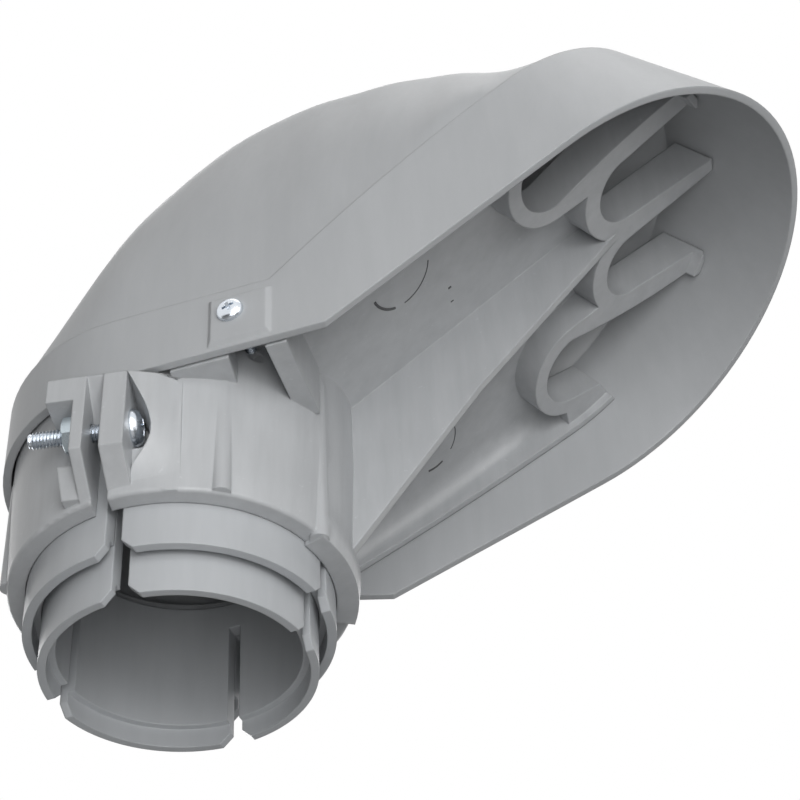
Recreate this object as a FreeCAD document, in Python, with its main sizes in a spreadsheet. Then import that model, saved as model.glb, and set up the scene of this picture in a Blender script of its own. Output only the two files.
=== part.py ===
import FreeCAD, Part
import math
import os
import Sketcher

# Service entrance weatherhead, moulded PVC, for the top of a conduit mast.
# A split collar clamps on the conduit and carries a sloping separator plate that ends in a comb of four
# conductor slots. A hood covers the plate and keeps rain out. Two slit rings reduce the 4 in collar to
# 3 1/2 in and to 3 in conduit.
# Frame: millimetres, origin on the conduit axis in the plane of the collar's lower rim.
# +Z up the conduit, +X forward to the mouth of the hood. The ears of the clamp are on the -Y side.

V = FreeCAD.Vector
X_AXIS = V(1, 0, 0)
Y_AXIS = V(0, 1, 0)
Z_AXIS = V(0, 0, 1)

SIZES = [
    # Conduit fit and reducer rings
    ("conduit_diameter", 88.9, "outside of 3 in conduit"),
    ("grip_gap", 0.15, "radial, conduit to inner ring"),
    ("inner_ring_wall", 5.9, "inner ring, radial"),
    ("outer_ring_wall", 6.35, "outer ring, radial"),
    ("ring_gap", 0.3, "radial and end gap of the nested rings"),
    ("inner_ring_drop", 15.0, "inner ring's rim below the outer ring's"),
    ("outer_ring_drop", 17.8, "outer ring's rim below the collar's"),
    ("lead_in_height", 8.0, "widened start of each ring's bore"),
    ("lead_in_depth", 2.8, "widened start, radial"),
    ("slot_width", 5.0, "slots between a ring's fingers"),
    ("slot_height", 51.0, "slot of the inner ring, from its rim"),
    ("ring_split_width", 6.2, "the full split of each ring"),
    ("finger_chamfer", 4.0, "cut corner of a finger at the rim"),
    ("ring_turn", -103.5, "azimuth of the rings, opposite their third slot"),
    ("split_shift", 2.6, "the full split, to the side of that azimuth"),
    # Collar and neck
    ("socket_depth", 30.0, "from the collar's rim to the stop ledge"),
    ("collar_wall", 6.95, "at the collar's rim"),
    ("collar_flare", 2.0, "growth of the outer radius up to the shoulder"),
    ("shoulder_height", 50.0, "top of the flared collar"),
    ("rim_round", 1.5, "round on the collar's lower outer edge"),
    ("ledge_width", 10.4, "stop ledge, radial"),
    ("ledge_thickness", 4.0, "stop ledge"),
    ("neck_wall", 6.6, "wall of the neck above the ledge"),
    ("neck_height", 76.0, "rim of the neck inside the hood"),
    ("bead_radius", 3.6, "raised beads up the collar"),
    ("bead_sink", 2.2, "how far a bead's axis lies inside the collar's surface"),
    ("near_bead_top", 53.5, "top of the near bead, in the wedge"),
    ("front_bead_top", 74.0, "top of the front bead, in the plate"),
    ("rim_lug_start", -27.0, "azimuth of the thick sector of the rim, first end"),
    ("rim_lug_end", 22.0, "azimuth of its other end"),
    ("rim_lug_raise", 1.4, "thick sector, beyond the collar's surface"),
    ("rim_lug_height", 14.0, "thick sector, up the collar"),
    ("rim_lug_drop", 2.0, "thick sector, below the rim"),
    ("near_bead_turn", -64.5, "azimuth of the bead beside the ears"),
    ("front_bead_turn", -26.0, "azimuth of the bead beside the gusset"),
    ("back_bead_turn", -162.0, "azimuth of the bead at the back"),
    # Clamp ears, in planes across X
    ("ear_reach", 78.0, "front face of the ears from the axis"),
    ("ear_top", 46.5, "top of the ears"),
    ("ear_nose", 12.0, "lower end of the ears' front face"),
    ("ear_toe", 58.0, "where the slanted lower edge meets the rim"),
    ("ear_gap", 6.2, "between the two ears"),
    ("ear_gap_centre", -15.0, "middle of the gap"),
    ("split_height", 31.0, "open height of the collar's split"),
    ("right_ear_thickness", 8.6, "ear under the screw's head"),
    ("left_ear_thickness", 4.4, "ear stem beside the nut"),
    ("nut_cap_reach", 10.2, "roof over the nut, out from the stem"),
    ("lug_height", 9.0, "lug under the nut"),
    ("ear_root", 12.0, "how far the ears' roots reach inward from the socket's wall"),
    ("lug_front", 70.0, "lug's upper front edge from the axis"),
    ("lug_toe", 62.0, "lug's lower front edge from the axis"),
    ("lug_top", 11.5, "top of the lug"),
    ("lug_width", 6.3, "lug, out from the stem"),
    ("wing_run", 16.3, "web from the right ear's corner along X to the collar"),
    ("wing_y", 65.0, "where the web meets the collar"),
    ("wing_top", 53.5, "top of the web at the collar"),
    ("head_clearance", 0.6, "screw head to its recess"),
    ("recess_bulge", 7.0, "widest part of the recess, from the ear"),
    ("recess_bulge_height", 24.5, "height of that widest part"),
    ("recess_bottom", 20.0, "lower end of the recess"),
    # Hardware
    ("clamp_screw_diameter", 6.35, "1/4-20 machine screw"),
    ("clamp_screw_length", 38.1, "under the head"),
    ("clamp_head_diameter", 14.1, "head of the clamp screw"),
    ("clamp_head_height", 3.9, "head of the clamp screw"),
    ("clamp_screw_reach", 66.0, "screw axis from the collar's axis"),
    ("clamp_screw_height", 29.05, "screw axis above the rim"),
    ("ear_hole_gap", 0.4, "radial, clamp screw to ear"),
    ("nut_thread_gap", 0.05, "radial, clamp screw to nut"),
    ("nut_width", 12.7, "nut across flats"),
    ("nut_thickness", 5.6, "nut"),
    ("nut_fit", 0.1, "nut to its channel"),
    ("cover_screw_diameter", 4.83, "no. 10 screw"),
    ("cover_screw_length", 22.2, "under the head"),
    ("screw_point", 0.12, "chamfer at a screw's end, as a share of its diameter"),
    ("cross_reach", 0.28, "half length of the cross recess, as a share of the head"),
    ("cross_blade", 0.07, "half width of its blades, as a share of the head"),
    ("cover_head_diameter", 10.4, "head of a cover screw"),
    ("cover_head_height", 3.0, "head of a cover screw"),
    ("cover_screw_x", 34.5, "cover screw, forward of the axis"),
    ("cover_screw_height", 68.4, "cover screw above the rim"),
    ("cover_hole_gap", 0.3, "radial, cover screw to cover"),
    ("seat_gap", 0.02, "screw and nut faces to what they bear on"),
    # Hood
    ("hood_radius", 70.5, "back of the hood"),
    ("hood_wall", 3.2, "wall of the hood"),
    ("side_flare", 9.6, "degrees that each side opens forward"),
    ("skirt_height", 52.0, "level back part of the skirt's rim"),
    ("mouth_rise", 7.3, "height of the mouth plane at the axis"),
    ("mouth_angle", 32.73, "slope of the mouth plane"),
    ("mouth_centre", 209.5, "centre of the front arc, up the mouth plane"),
    ("crease_height", 82.0, "level back part of the crease"),
    ("crease_rise", 40.65, "height of the crease plane at the axis"),
    ("crease_angle", 40.36, "slope of the crease plane"),
    ("crease_centre", 189.3, "centre of the crease's front arc, up its plane"),
    ("crease_radius", 91.0, "front arc of the crease"),
    ("crease_ledge", 0.4, "step from skirt to dome"),
    ("crease_overlap", 3.0, "how far the dome sinks into the skirt"),
    ("apex_x", 63.7, "top of the dome"),
    ("apex_height", 250.4, "top of the dome"),
    ("back_power", 1.147, "how the ridge swells behind the apex"),
    ("front_power", 1.4, "how the ridge swells before the apex"),
    ("back_section", 42.0, "half angle of the dome's cross section at the back"),
    ("front_section", 25.0, "the same towards the tip"),
    ("tip_trim", 4.0, "degrees by which the dome's surface stops short of both tips"),
    ("plumb_start", -7.8, "from here the cross sections stand plumb on the sides"),
    ("plumb_end", 92.0, "up to here they do"),
    ("flat_start", 151.0, "from here they have the front angle"),
    ("pad_above", 0.38, "share of the pad's height above the screw"),
    ("pad_forward", 3.0, "pad's middle ahead of the screw"),
    ("pad_raise", 1.8, "flat screw pads on the hood"),
    ("pad_length", 21.3, "screw pad, along the hood"),
    ("pad_height", 20.5, "screw pad, up the hood"),
    ("pad_bevel", 3.2, "sloped border of a pad"),
    # Separator plate and its lips
    ("hood_gap", 0.8, "body to hood"),
    ("plate_rise", 27.2, "height of the plate's lower face at the axis"),
    ("plate_angle", 40.6, "slope of the plate"),
    ("plate_wall", 3.2, "plate and lips"),
    ("plate_start", 48.0, "back edge of the plate, from the axis"),
    ("lip_rise", 20.2, "height of the lips' edge plane at the axis"),
    ("lip_angle", 37.4, "slope of the lips' edge plane"),
    ("lip_round", 11.0, "inside round between plate and lip"),
    ("gusset_wall", 4.0, "centre gusset"),
    ("gusset_foot", 12.5, "lower end of the gusset on the collar"),
    ("gusset_knee_x", 118.5, "bend of the gusset's free edge"),
    ("gusset_knee_height", 87.5, "bend of the gusset's free edge"),
    # Comb, in its own plane: u up the slope from the axis, y across
    ("comb_rise", 18.4, "height of the comb's face plane at the axis"),
    ("comb_angle", 38.66, "slope of the comb's face plane"),
    ("comb_depth", 17.5, "comb, across its plane"),
    ("outer_slot_u", 203.0, "centre of an outer slot's round end, and the origin of the runs below"),
    ("outer_slot_y", 56.5, "centre of an outer slot's round end"),
    ("outer_slot_radius", 17.5, "round end of an outer slot"),
    ("outer_slot_rim", 7.0, "wall round an outer slot"),
    ("inner_slot_run", 38.5, "centre of an inner slot's round end"),
    ("inner_slot_y", 21.5, "centre of an inner slot's round end"),
    ("inner_slot_radius", 15.5, "round end of an inner slot"),
    ("inner_slot_rim", 8.7, "wall round an inner slot"),
    ("side_arm_run", 78.0, "end of a side arm before its round tip"),
    ("side_arm_skew", 1.5, "how much further its inner corner reaches"),
    ("side_arm_nose", 5.6, "round tip of a side arm"),
    ("side_arm_inner", 42.5, "side arm's inner edge at its end"),
    ("side_arm_outer", 51.6, "side arm's outer edge at its end"),
    ("side_arm_bend", 0.4, "where the side arm is widest, as a share of its length"),
    ("side_arm_swell", 46.3, "side arm's outer edge at its middle"),
    ("middle_arm_run", 89.5, "end of the middle arm before its round tip"),
    ("middle_arm_half", 3.2, "half width of the middle arm at its end"),
    ("short_arm_run", 13.0, "inner corner of a short arm's end"),
    ("short_arm_y", 78.0, "inner corner of a short arm's end"),
    ("short_arm_tip_run", 19.0, "outer corner of a short arm's end"),
    ("short_arm_skew", 14.0, "across the comb, from the inner to the outer corner"),
    ("slot_turn", 100.0, "degrees round an outer slot at which the short arm begins"),
    ("side_turn", 110.0, "degrees at which its back edge leaves the round"),
    ("side_run", 8.0, "slant of that back edge"),
    # Brackets for the cover screws
    ("bracket_back", 10.0, "back end of a bracket's wedge"),
    ("wedge_front", 32.5, "front end of the wedge at the hood"),
    ("wedge_height", 12.0, "wedge, above the skirt's rim"),
    ("web_back", 46.0, "back face of the web before the screw"),
    ("web_front", 54.0, "its front face"),
    ("web_turn", 6.0, "degrees that the web falls back towards the collar"),
    ("web_outer_height", 51.0, "underside of the web at the hood"),
    ("web_inner_height", 54.5, "underside of the web at the collar"),
    ("wedge_outer_height", 50.2, "underside of the wedge at the hood"),
    ("bracket_top", 78.0, "top of a bracket"),
    ("shelf_wall", 3.0, "top wall of a bracket"),
    ("boss_back", 18.0, "back end of the wall that takes a cover screw"),
    ("boss_wall", 5.0, "that wall"),
    ("boss_bottom", 62.0, "lower edge of that wall"),
    ("screw_hole_reach", 26.0, "depth of a cover screw's hole from the hood's face"),
]

doc = FreeCAD.newDocument("weatherhead")
sheet = doc.addObject("Spreadsheet::Sheet", "Sizes")
for row, (alias, value, meaning) in enumerate(SIZES, start=1):
    sheet.set("A%d" % row, meaning)
    sheet.set("B%d" % row, str(value))
    sheet.setAlias("B%d" % row, alias)
doc.recompute()


class Sizes:
    """The sheet's values by alias, with the few sums that several shapes share."""

    def __getattr__(self, alias):
        return float(sheet.get(alias))

    @property
    def inner_ring_bore(self):
        return self.conduit_diameter / 2 + self.grip_gap

    @property
    def inner_ring_outer(self):
        return self.inner_ring_bore + self.inner_ring_wall

    @property
    def outer_ring_bore(self):
        return self.inner_ring_outer + self.ring_gap

    @property
    def outer_ring_outer(self):
        return self.outer_ring_bore + self.outer_ring_wall

    @property
    def collar_bore(self):
        return self.outer_ring_outer + self.ring_gap

    @property
    def collar_outer(self):
        return self.collar_bore + self.collar_wall

    @property
    def shoulder_radius(self):
        return self.collar_outer + self.collar_flare


S = Sizes()

# The same sums as expressions on the sheet, for the bound features
BOTH_DROPS = "(Sizes.inner_ring_drop + Sizes.outer_ring_drop)"
INNER_BORE = "(Sizes.conduit_diameter / 2 + Sizes.grip_gap)"
INNER_OUTER = INNER_BORE + " + Sizes.inner_ring_wall"
OUTER_BORE = INNER_OUTER + " + Sizes.ring_gap"
OUTER_OUTER = OUTER_BORE + " + Sizes.outer_ring_wall"


def origin_plane(body, role):
    """The origin plane of a body that plays the given role."""
    return [item for item in body.Origin.OriginFeatures if item.Role == role][0]


def bound_sketch(body, name, role, corners):
    """A closed polygon whose corners are bound to expressions, on one of the body's origin planes."""
    sketch = body.newObject("Sketcher::SketchObject", name)
    sketch.AttachmentSupport = [(origin_plane(body, role), "")]
    sketch.MapMode = "FlatFace"
    count = len(corners)
    turn = [2 * math.pi * i / count for i in range(count + 1)]
    ring = [V(10 * math.cos(angle), 10 * math.sin(angle), 0) for angle in turn]
    for i in range(count):
        sketch.addGeometry(Part.LineSegment(ring[i], ring[i + 1]))
    for i in range(count):
        sketch.addConstraint(Sketcher.Constraint("Coincident", i, 2, (i + 1) % count, 1))
    for i, corner in enumerate(corners):
        for kind, expression in zip(("DistanceX", "DistanceY"), corner):
            index = sketch.addConstraint(Sketcher.Constraint(kind, -1, 1, i, 1, 1.0))
            sketch.setExpression("Constraints[%d]" % index, expression)
    doc.recompute()
    return sketch


def revolve(body, name, sketch):
    """A full turn of the sketch about the body's Z axis."""
    feature = body.newObject("PartDesign::Revolution", name)
    feature.Profile = sketch
    feature.ReferenceAxis = (sketch, ["V_Axis"])
    feature.Angle = 360
    doc.recompute()
    return feature


def pocket(body, name, sketch, length, reverse=False):
    """A pocket of bound depth, with a check that it takes material away."""
    before = body.Shape.Volume
    feature = body.newObject("PartDesign::Pocket", name)
    feature.Profile = sketch
    feature.Type = "Length"
    feature.setExpression("Length", length)
    feature.Reversed = reverse
    doc.recompute()
    if body.Shape.Volume > before - 1e-3:
        raise RuntimeError(name + " cuts nothing")
    return feature


def new_body(label):
    body = doc.addObject("PartDesign::Body", label)
    body.Label = label
    return body


def make_ring(label, bore, outer, drop):
    """A slit reducer ring: one full split, three closed slots and cut finger corners at the rim."""
    height = "(%s + Sizes.socket_depth - Sizes.ring_gap)" % drop
    slot = "(Sizes.slot_height - Sizes.inner_ring_drop - Sizes.outer_ring_drop + %s)" % drop
    body = new_body(label)
    profile = [
        (bore + " + Sizes.lead_in_depth", "0"),
        (outer, "0"),
        (outer, height),
        (bore, height),
        (bore, "Sizes.lead_in_height"),
        (bore + " + Sizes.lead_in_depth", "Sizes.lead_in_height"),
    ]
    revolve(body, label + "_turned", bound_sketch(body, label + "_profile", "XZ_Plane", profile))
    reach = outer + " + 1"

    def mouth(width, top, shift):
        side = "Sizes.%s / 2" % width
        return [
            ("%s - %s - Sizes.finger_chamfer" % (shift, side), "0"),
            ("%s + %s + Sizes.finger_chamfer" % (shift, side), "0"),
            ("%s + %s" % (shift, side), "Sizes.finger_chamfer"),
            ("%s + %s" % (shift, side), top),
            ("%s - %s" % (shift, side), top),
            ("%s - %s" % (shift, side), "Sizes.finger_chamfer"),
        ]

    outline = mouth("ring_split_width", height + " + 1", "Sizes.split_shift")
    split = bound_sketch(body, label + "_split_outline", "YZ_Plane", outline)
    pocket(body, label + "_split", split, reach, reverse=True)
    outline = bound_sketch(body, label + "_slot_outline", "XZ_Plane", mouth("slot_width", slot, "0"))
    first = pocket(body, label + "_slot", outline, reach)
    slots = body.newObject("PartDesign::PolarPattern", label + "_slots")
    slots.Originals = [first]
    slots.Axis = (outline, ["V_Axis"])
    slots.Angle = 180
    slots.Occurrences = 3
    body.Tip = slots
    doc.recompute()
    body.Placement = FreeCAD.Placement(V(0, 0, 0), FreeCAD.Rotation(Z_AXIS, S.ring_turn))
    body.setExpression("Placement.Base.z", "-" + drop)
    body.setExpression("Placement.Rotation.Angle", "Sizes.ring_turn")
    return body


# A pan head's domed outline, as shares of its diameter and height, from the middle outwards.
PAN_OUTLINE = ((0.28, 0.95), (0.42, 0.74), (0.5, 0.32))


def make_screw(label, diameter, length, head_diameter, head_height, driver):
    """A pan head screw along +Z with its head's underside at z = 0 and a cross recess."""
    body = new_body(label)
    profile = [("0", head_height)]
    for across, up in PAN_OUTLINE:
        profile.append(("%s * %g" % (head_diameter, across), "%s * %g" % (head_height, up)))
    profile += [
        (head_diameter + " / 2", "0"),
        (diameter + " / 2", "0"),
        (diameter + " / 2", "-(%s) + %s * Sizes.screw_point" % (length, diameter)),
        (diameter + " / 2 - %s * Sizes.screw_point" % diameter, "-(%s)" % length),
        ("0", "-(%s)" % length),
    ]
    revolve(body, label + "_turned", bound_sketch(body, label + "_profile", "XZ_Plane", profile))
    half = "%s * Sizes.cross_reach" % head_diameter
    blade = "%s * Sizes.cross_blade" % head_diameter
    for index, (wide, narrow) in enumerate(((half, blade), (blade, half))):
        corners = [
            ("-(%s)" % wide, "-(%s)" % narrow),
            (wide, "-(%s)" % narrow),
            (wide, narrow),
            ("-(%s)" % wide, narrow),
        ]
        name = "%s_cross_%d" % (label, index)
        sketch = bound_sketch(body, name + "_outline", "XY_Plane", corners)
        sketch.setExpression("AttachmentOffset.Base.z", head_height)
        doc.recompute()
        pocket(body, name, sketch, driver)
    return body


def make_nut(label):
    """A hexagon nut whose bearing face is z = 0 and whose flats stand square to local X."""
    body = new_body(label)
    corner = "(Sizes.nut_width / 2 / cos(30))"
    hexagon = []
    for turn in range(6):
        angle = 30 + 60 * turn
        hexagon.append(("%s * cos(%d)" % (corner, angle), "%s * sin(%d)" % (corner, angle)))
    outline = bound_sketch(body, label + "_outline", "XY_Plane", hexagon)
    prism = body.newObject("PartDesign::Pad", label + "_prism")
    prism.Profile = outline
    prism.setExpression("Length", "Sizes.nut_thickness")
    doc.recompute()
    wall = "Sizes.clamp_screw_diameter / 2 + Sizes.nut_thread_gap"
    bore = body.newObject("Sketcher::SketchObject", label + "_bore_outline")
    bore.AttachmentSupport = [(origin_plane(body, "XY_Plane"), "")]
    bore.MapMode = "FlatFace"
    bore.addGeometry(Part.Circle(V(0, 0, 0), Z_AXIS, 3))
    bore.addConstraint(Sketcher.Constraint("Coincident", 0, 3, -1, 1))
    index = bore.addConstraint(Sketcher.Constraint("Radius", 0, 3))
    bore.setExpression("Constraints[%d]" % index, wall)
    doc.recompute()
    pocket(body, label + "_bore", bore, "Sizes.nut_thickness + 1", reverse=True)
    return body


def slope_point(rise, angle, x):
    """Height of a sloping plane at x."""
    return rise + x * math.tan(math.radians(angle))


def circle_arc(centre_u, radius, start, end, place):
    """An arc about (centre_u, 0) in a sloping plane, from one angle to another, in degrees."""
    angles = [start, (start + end) / 2, end]
    points = []
    for angle in angles:
        turn = math.radians(angle)
        points.append(place(centre_u + radius * math.cos(turn), radius * math.sin(turn)))
    return Part.Arc(*points).toShape()


class HoodOutline:
    """Rim and crease of the hood, drawn in by a given distance."""

    def __init__(self, inset):
        flare = math.radians(S.side_flare)
        self.flare = flare
        self.back_radius = S.hood_radius - inset
        self.mouth_slope = math.radians(S.mouth_angle)
        self.crease_slope = math.radians(S.crease_angle)
        self.mouth_bend = (S.skirt_height - S.mouth_rise) / math.tan(self.mouth_slope)
        self.crease_bend = (S.crease_height - S.crease_rise) / math.tan(self.crease_slope)
        # The sides are plumb and touch the back arc. Seen in the mouth plane they touch the front arc.
        run = math.cos(self.mouth_slope) * math.tan(flare)
        reach = S.mouth_centre * run + self.back_radius / math.cos(flare)
        self.mouth_radius = reach / math.hypot(1, run)
        self.mouth_turn = math.degrees(math.atan(run))
        self.crease_radius = S.crease_radius - inset

    def side(self, x):
        """Half width of the plumb part of a side."""
        return x * math.tan(self.flare) + self.back_radius / math.cos(self.flare)

    def in_mouth(self, u, y):
        return V(u * math.cos(self.mouth_slope), y, S.mouth_rise + u * math.sin(self.mouth_slope))

    def in_crease(self, u, y):
        return V(u * math.cos(self.crease_slope), y, S.crease_rise + u * math.sin(self.crease_slope))

    def back_arc(self, height):
        flare = self.flare
        end = V(-self.back_radius * math.sin(flare), self.back_radius * math.cos(flare), height)
        start = V(end.x, -end.y, height)
        return Part.Arc(start, V(-self.back_radius, 0, height), end).toShape()

    def crease_side_arc(self):
        """Run and radius of the arc that carries the crease from the bend smoothly into the front arc."""
        run = S.crease_centre - self.crease_bend / math.cos(self.crease_slope)
        rise = self.crease_radius - self.side(self.crease_bend)
        return run, (run * run + rise * rise) / (2 * rise)

    def crease_side(self, sign):
        run, radius = self.crease_side_arc()
        points = []
        for share in (1.0, 0.5, 0.0):
            along = run * share
            y = self.crease_radius - radius + math.sqrt(radius * radius - along * along)
            points.append(self.in_crease(S.crease_centre - along, sign * y))
        return Part.Arc(*points).toShape()

    def half_edges(self, sign):
        """Pairs of rim and crease edges on one side, from the back arc forward."""
        back_x = -self.back_radius * math.sin(self.flare)
        back_y = sign * self.side(back_x)
        rim_bend = V(self.mouth_bend, sign * self.side(self.mouth_bend), S.skirt_height)
        crease_bend = V(self.crease_bend, sign * self.side(self.crease_bend), S.crease_height)
        turn = math.radians(90 + self.mouth_turn)
        mouth_end = self.in_mouth(
            S.mouth_centre + self.mouth_radius * math.cos(turn), sign * self.mouth_radius * math.sin(turn))
        level = (
            Part.LineSegment(V(back_x, back_y, S.skirt_height), rim_bend).toShape(),
            Part.LineSegment(V(back_x, back_y, S.crease_height), crease_bend).toShape(),
        )
        sloping = (Part.LineSegment(rim_bend, mouth_end).toShape(), self.crease_side(sign))
        return level, sloping

    def front_edges(self):
        end = 90 + self.mouth_turn
        rim = circle_arc(S.mouth_centre, self.mouth_radius, -end, end, self.in_mouth)
        crease = circle_arc(S.crease_centre, self.crease_radius, -90, 90, self.in_crease)
        return rim, crease

    @property
    def tip(self):
        return self.in_crease(S.crease_centre + self.crease_radius, 0)

    def crease_level(self, x):
        return max(S.crease_height, S.crease_rise + x * math.tan(self.crease_slope))

    def crease_half(self, x):
        """Half width of the crease at x."""
        back_end = -self.back_radius * math.sin(self.flare)
        if x < back_end:
            return math.sqrt(max(self.back_radius ** 2 - x ** 2, 0.0))
        if x < self.crease_bend:
            return self.side(x)
        beyond = x / math.cos(self.crease_slope) - S.crease_centre
        if beyond < 0:
            run, radius = self.crease_side_arc()
            return self.crease_radius - radius + math.sqrt(radius ** 2 - beyond ** 2)
        return math.sqrt(max(self.crease_radius ** 2 - beyond ** 2, 0.0))

    def dome_stations(self):
        """Places of the dome's cross sections. Both ends stop just short of the tips, at a small width."""
        short = S.tip_trim
        bend = self.crease_bend
        middle = S.crease_centre * math.cos(self.crease_slope)
        back_turns = [short] + list(range(10, 91, 10))
        back = [-self.back_radius * math.cos(math.radians(turn)) for turn in back_turns]
        level = [bend / 3, bend * 2 / 3, bend - 4, bend + 4]
        sides = [bend + 4 + (middle - bend - 4) * i / 7 for i in range(1, 8)]
        front_turns = [12, 24, 36, 48, 60, 72, 80, 90 - short]
        front = [middle + (self.tip.x - middle) * math.sin(math.radians(turn)) for turn in front_turns]
        return back + level + sides + front


def sewn_solid(faces):
    shell = Part.makeShell(faces)
    shell.sewShape()
    solid = Part.Solid(Part.Shell(shell.Faces))
    if solid.Volume < 0:
        solid.reverse()
    return solid


def flat_face(edges):
    return Part.Face(Part.Wire(Part.__sortEdges__(edges)))


def skirt_solid(inset):
    """The space inside the skirt's outline, drawn in by inset, from the rim to the crease."""
    outline = HoodOutline(inset)
    pairs = [(outline.back_arc(S.skirt_height), outline.back_arc(S.crease_height))]
    level_right, sloping_right = outline.half_edges(-1)
    level_left, sloping_left = outline.half_edges(1)
    front = outline.front_edges()
    pairs += [level_right, level_left, sloping_right, sloping_left, front]
    faces = [Part.makeRuledSurface(lower, upper) for lower, upper in pairs]
    for index, bend, height in (
        (0, outline.mouth_bend, S.skirt_height),
        (1, outline.crease_bend, S.crease_height),
    ):
        half = outline.side(bend)
        tie = Part.LineSegment(V(bend, -half, height), V(bend, half, height)).toShape()
        faces.append(flat_face([pairs[0][index], level_right[index], level_left[index], tie]))
        faces.append(flat_face([front[index], sloping_right[index], sloping_left[index], tie]))
    return sewn_solid(faces)


def smooth_step(value):
    clamped = min(max(value, 0.0), 1.0)
    return math.sin(math.pi / 2 * clamped) ** 2


def ridge_height(x, outline, drop):
    """Height of the dome's middle line: it climbs from the back to the apex and falls to the tip."""
    apex = S.apex_height - drop
    start = -outline.back_radius
    if x < S.apex_x:
        share = (x - start) / (S.apex_x - start)
        return S.crease_height + (apex - S.crease_height) * (1 - (1 - share) ** 2) ** S.back_power
    share = (x - S.apex_x) / (outline.tip.x - S.apex_x)
    return outline.tip.z + (apex - outline.tip.z) * max(1 - share ** 2, 0.0) ** S.front_power


def section_angle(x, outline):
    """Half angle of the arc that each cross section follows: 90 degrees where it stands plumb."""
    back = smooth_step((S.plumb_start - x) / (S.plumb_start + outline.back_radius))
    front = smooth_step((x - S.plumb_end) / (S.flat_start - S.plumb_end))
    return math.radians(90 - (90 - S.back_section) * back - (90 - S.front_section) * front)


def dome_section(x, outline, drop, count):
    """Points across the dome at x, from the right side of the crease to the left."""
    base = outline.crease_level(x)
    half = outline.crease_half(x)
    rise = max(ridge_height(x, outline, drop) - base, 0.0)
    angle = section_angle(x, outline)
    points = []
    for i in range(count):
        turn = angle * (2 * i / (count - 1) - 1)
        lift = (math.cos(turn) - math.cos(angle)) / (1 - math.cos(angle))
        points.append(V(x, half * math.sin(turn) / math.sin(angle), base + rise * lift))
    return points


def through(points, parameters):
    curve = Part.BSplineCurve()
    curve.interpolate(Points=points, Parameters=parameters)
    return curve


def surface_through(grid, long_parameters, cross_parameters):
    """A smooth surface through a grid of points, with its four edges: right, left, start and end."""
    rows = [through(row, long_parameters) for row in grid]
    columns = [through([row.getPole(k + 1) for row in rows], cross_parameters) for k in range(rows[0].NbPoles)]
    surface = Part.BSplineSurface()
    surface.buildFromPolesMultsKnots(
        [column.getPoles() for column in columns],
        rows[0].getMultiplicities(), columns[0].getMultiplicities(),
        rows[0].getKnots(), columns[0].getKnots(), False, False, 3, 3)
    return surface, [curve.toShape() for curve in (rows[0], rows[-1], columns[0], columns[-1])]


ACROSS = 9


def dome_solid(inset, drop):
    """The space under the dome, sunk a little into the skirt so that the two join."""
    outline = HoodOutline(inset)
    sections = [dome_section(x, outline, drop, ACROSS) for x in outline.dome_stations()]
    steps = [0.0]
    for before, after in zip(sections, sections[1:]):
        run = (after[ACROSS // 2] - before[ACROSS // 2]).Length + (after[0] - before[0]).Length
        steps.append(steps[-1] + run)
    along = [step / steps[-1] for step in steps]
    across = [i / (ACROSS - 1) for i in range(ACROSS)]
    grid = [[section[i] for section in sections] for i in range(ACROSS)]
    surface, (right, left, start, end) = surface_through(grid, along, across)
    sink = Z_AXIS * -S.crease_overlap
    lowered = [edge.translated(sink) for edge in (right, left)]
    faces = [surface.toShape(), right.extrude(sink), left.extrude(sink), Part.makeRuledSurface(*lowered)]
    for section, edge in ((sections[0], start), (sections[-1], end)):
        low = [section[0] + sink, section[-1] + sink]
        sides = [(section[0], low[0]), (low[0], low[1]), (low[1], section[-1])]
        faces.append(flat_face([edge] + [Part.LineSegment(*pair).toShape() for pair in sides]))
    return sewn_solid(faces)


def side_frame(sign):
    """Origin on the hood's side at the cover screw, and the outward, forward and upward directions."""
    outline = HoodOutline(0)
    flare = outline.flare
    outward = V(-math.sin(flare), sign * math.cos(flare), 0)
    forward = V(math.cos(flare), sign * math.sin(flare), 0)
    centre = V(S.cover_screw_x, sign * outline.side(S.cover_screw_x), S.cover_screw_height)
    return centre, outward, forward


def pad_solid(sign):
    """A flat raised pad with sloped borders, on one side of the hood."""
    centre, outward, forward = side_frame(sign)
    wires = []
    for raise_by, grow in ((-S.hood_wall / 2, S.pad_bevel), (S.pad_raise, 0.0)):
        half = S.pad_length / 2 + grow
        low = -S.pad_height * (1 - S.pad_above) - grow
        high = S.pad_height * S.pad_above + grow
        middle = centre + outward * raise_by + forward * S.pad_forward
        corners = [(-half, low), (half, low), (half, high), (-half, high), (-half, low)]
        wires.append(Part.makePolygon([middle + forward * a + Z_AXIS * b for a, b in corners]))
    return Part.makeLoft(wires, True, True)


def screw_hole(sign, radius, start, length):
    centre, outward, forward = side_frame(sign)
    return Part.makeCylinder(radius, length, centre + outward * start, outward * -1)


def make_cover():
    outer = skirt_solid(0).fuse(dome_solid(S.crease_ledge, 0))
    outer = outer.fuse([pad_solid(-1), pad_solid(1)])
    cavity = skirt_solid(S.hood_wall).fuse(dome_solid(S.hood_wall + S.crease_ledge, S.hood_wall))
    shape = outer.cut(cavity)
    radius = S.cover_screw_diameter / 2 + S.cover_hole_gap
    for sign in (-1, 1):
        shape = shape.cut(screw_hole(sign, radius, S.pad_raise + 1, S.pad_raise + S.hood_wall + 3))
    return place_feature("cover", shape.removeSplitter())


def place_feature(label, shape):
    feature = doc.addObject("Part::Feature", label)
    feature.Label = label
    if shape.ShapeType == "Compound" and len(shape.Solids) == 1:
        shape = shape.Solids[0]
    feature.Shape = shape
    feature.Placement = FreeCAD.Placement(V(0, 0, 0), FreeCAD.Rotation())
    return feature


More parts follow.
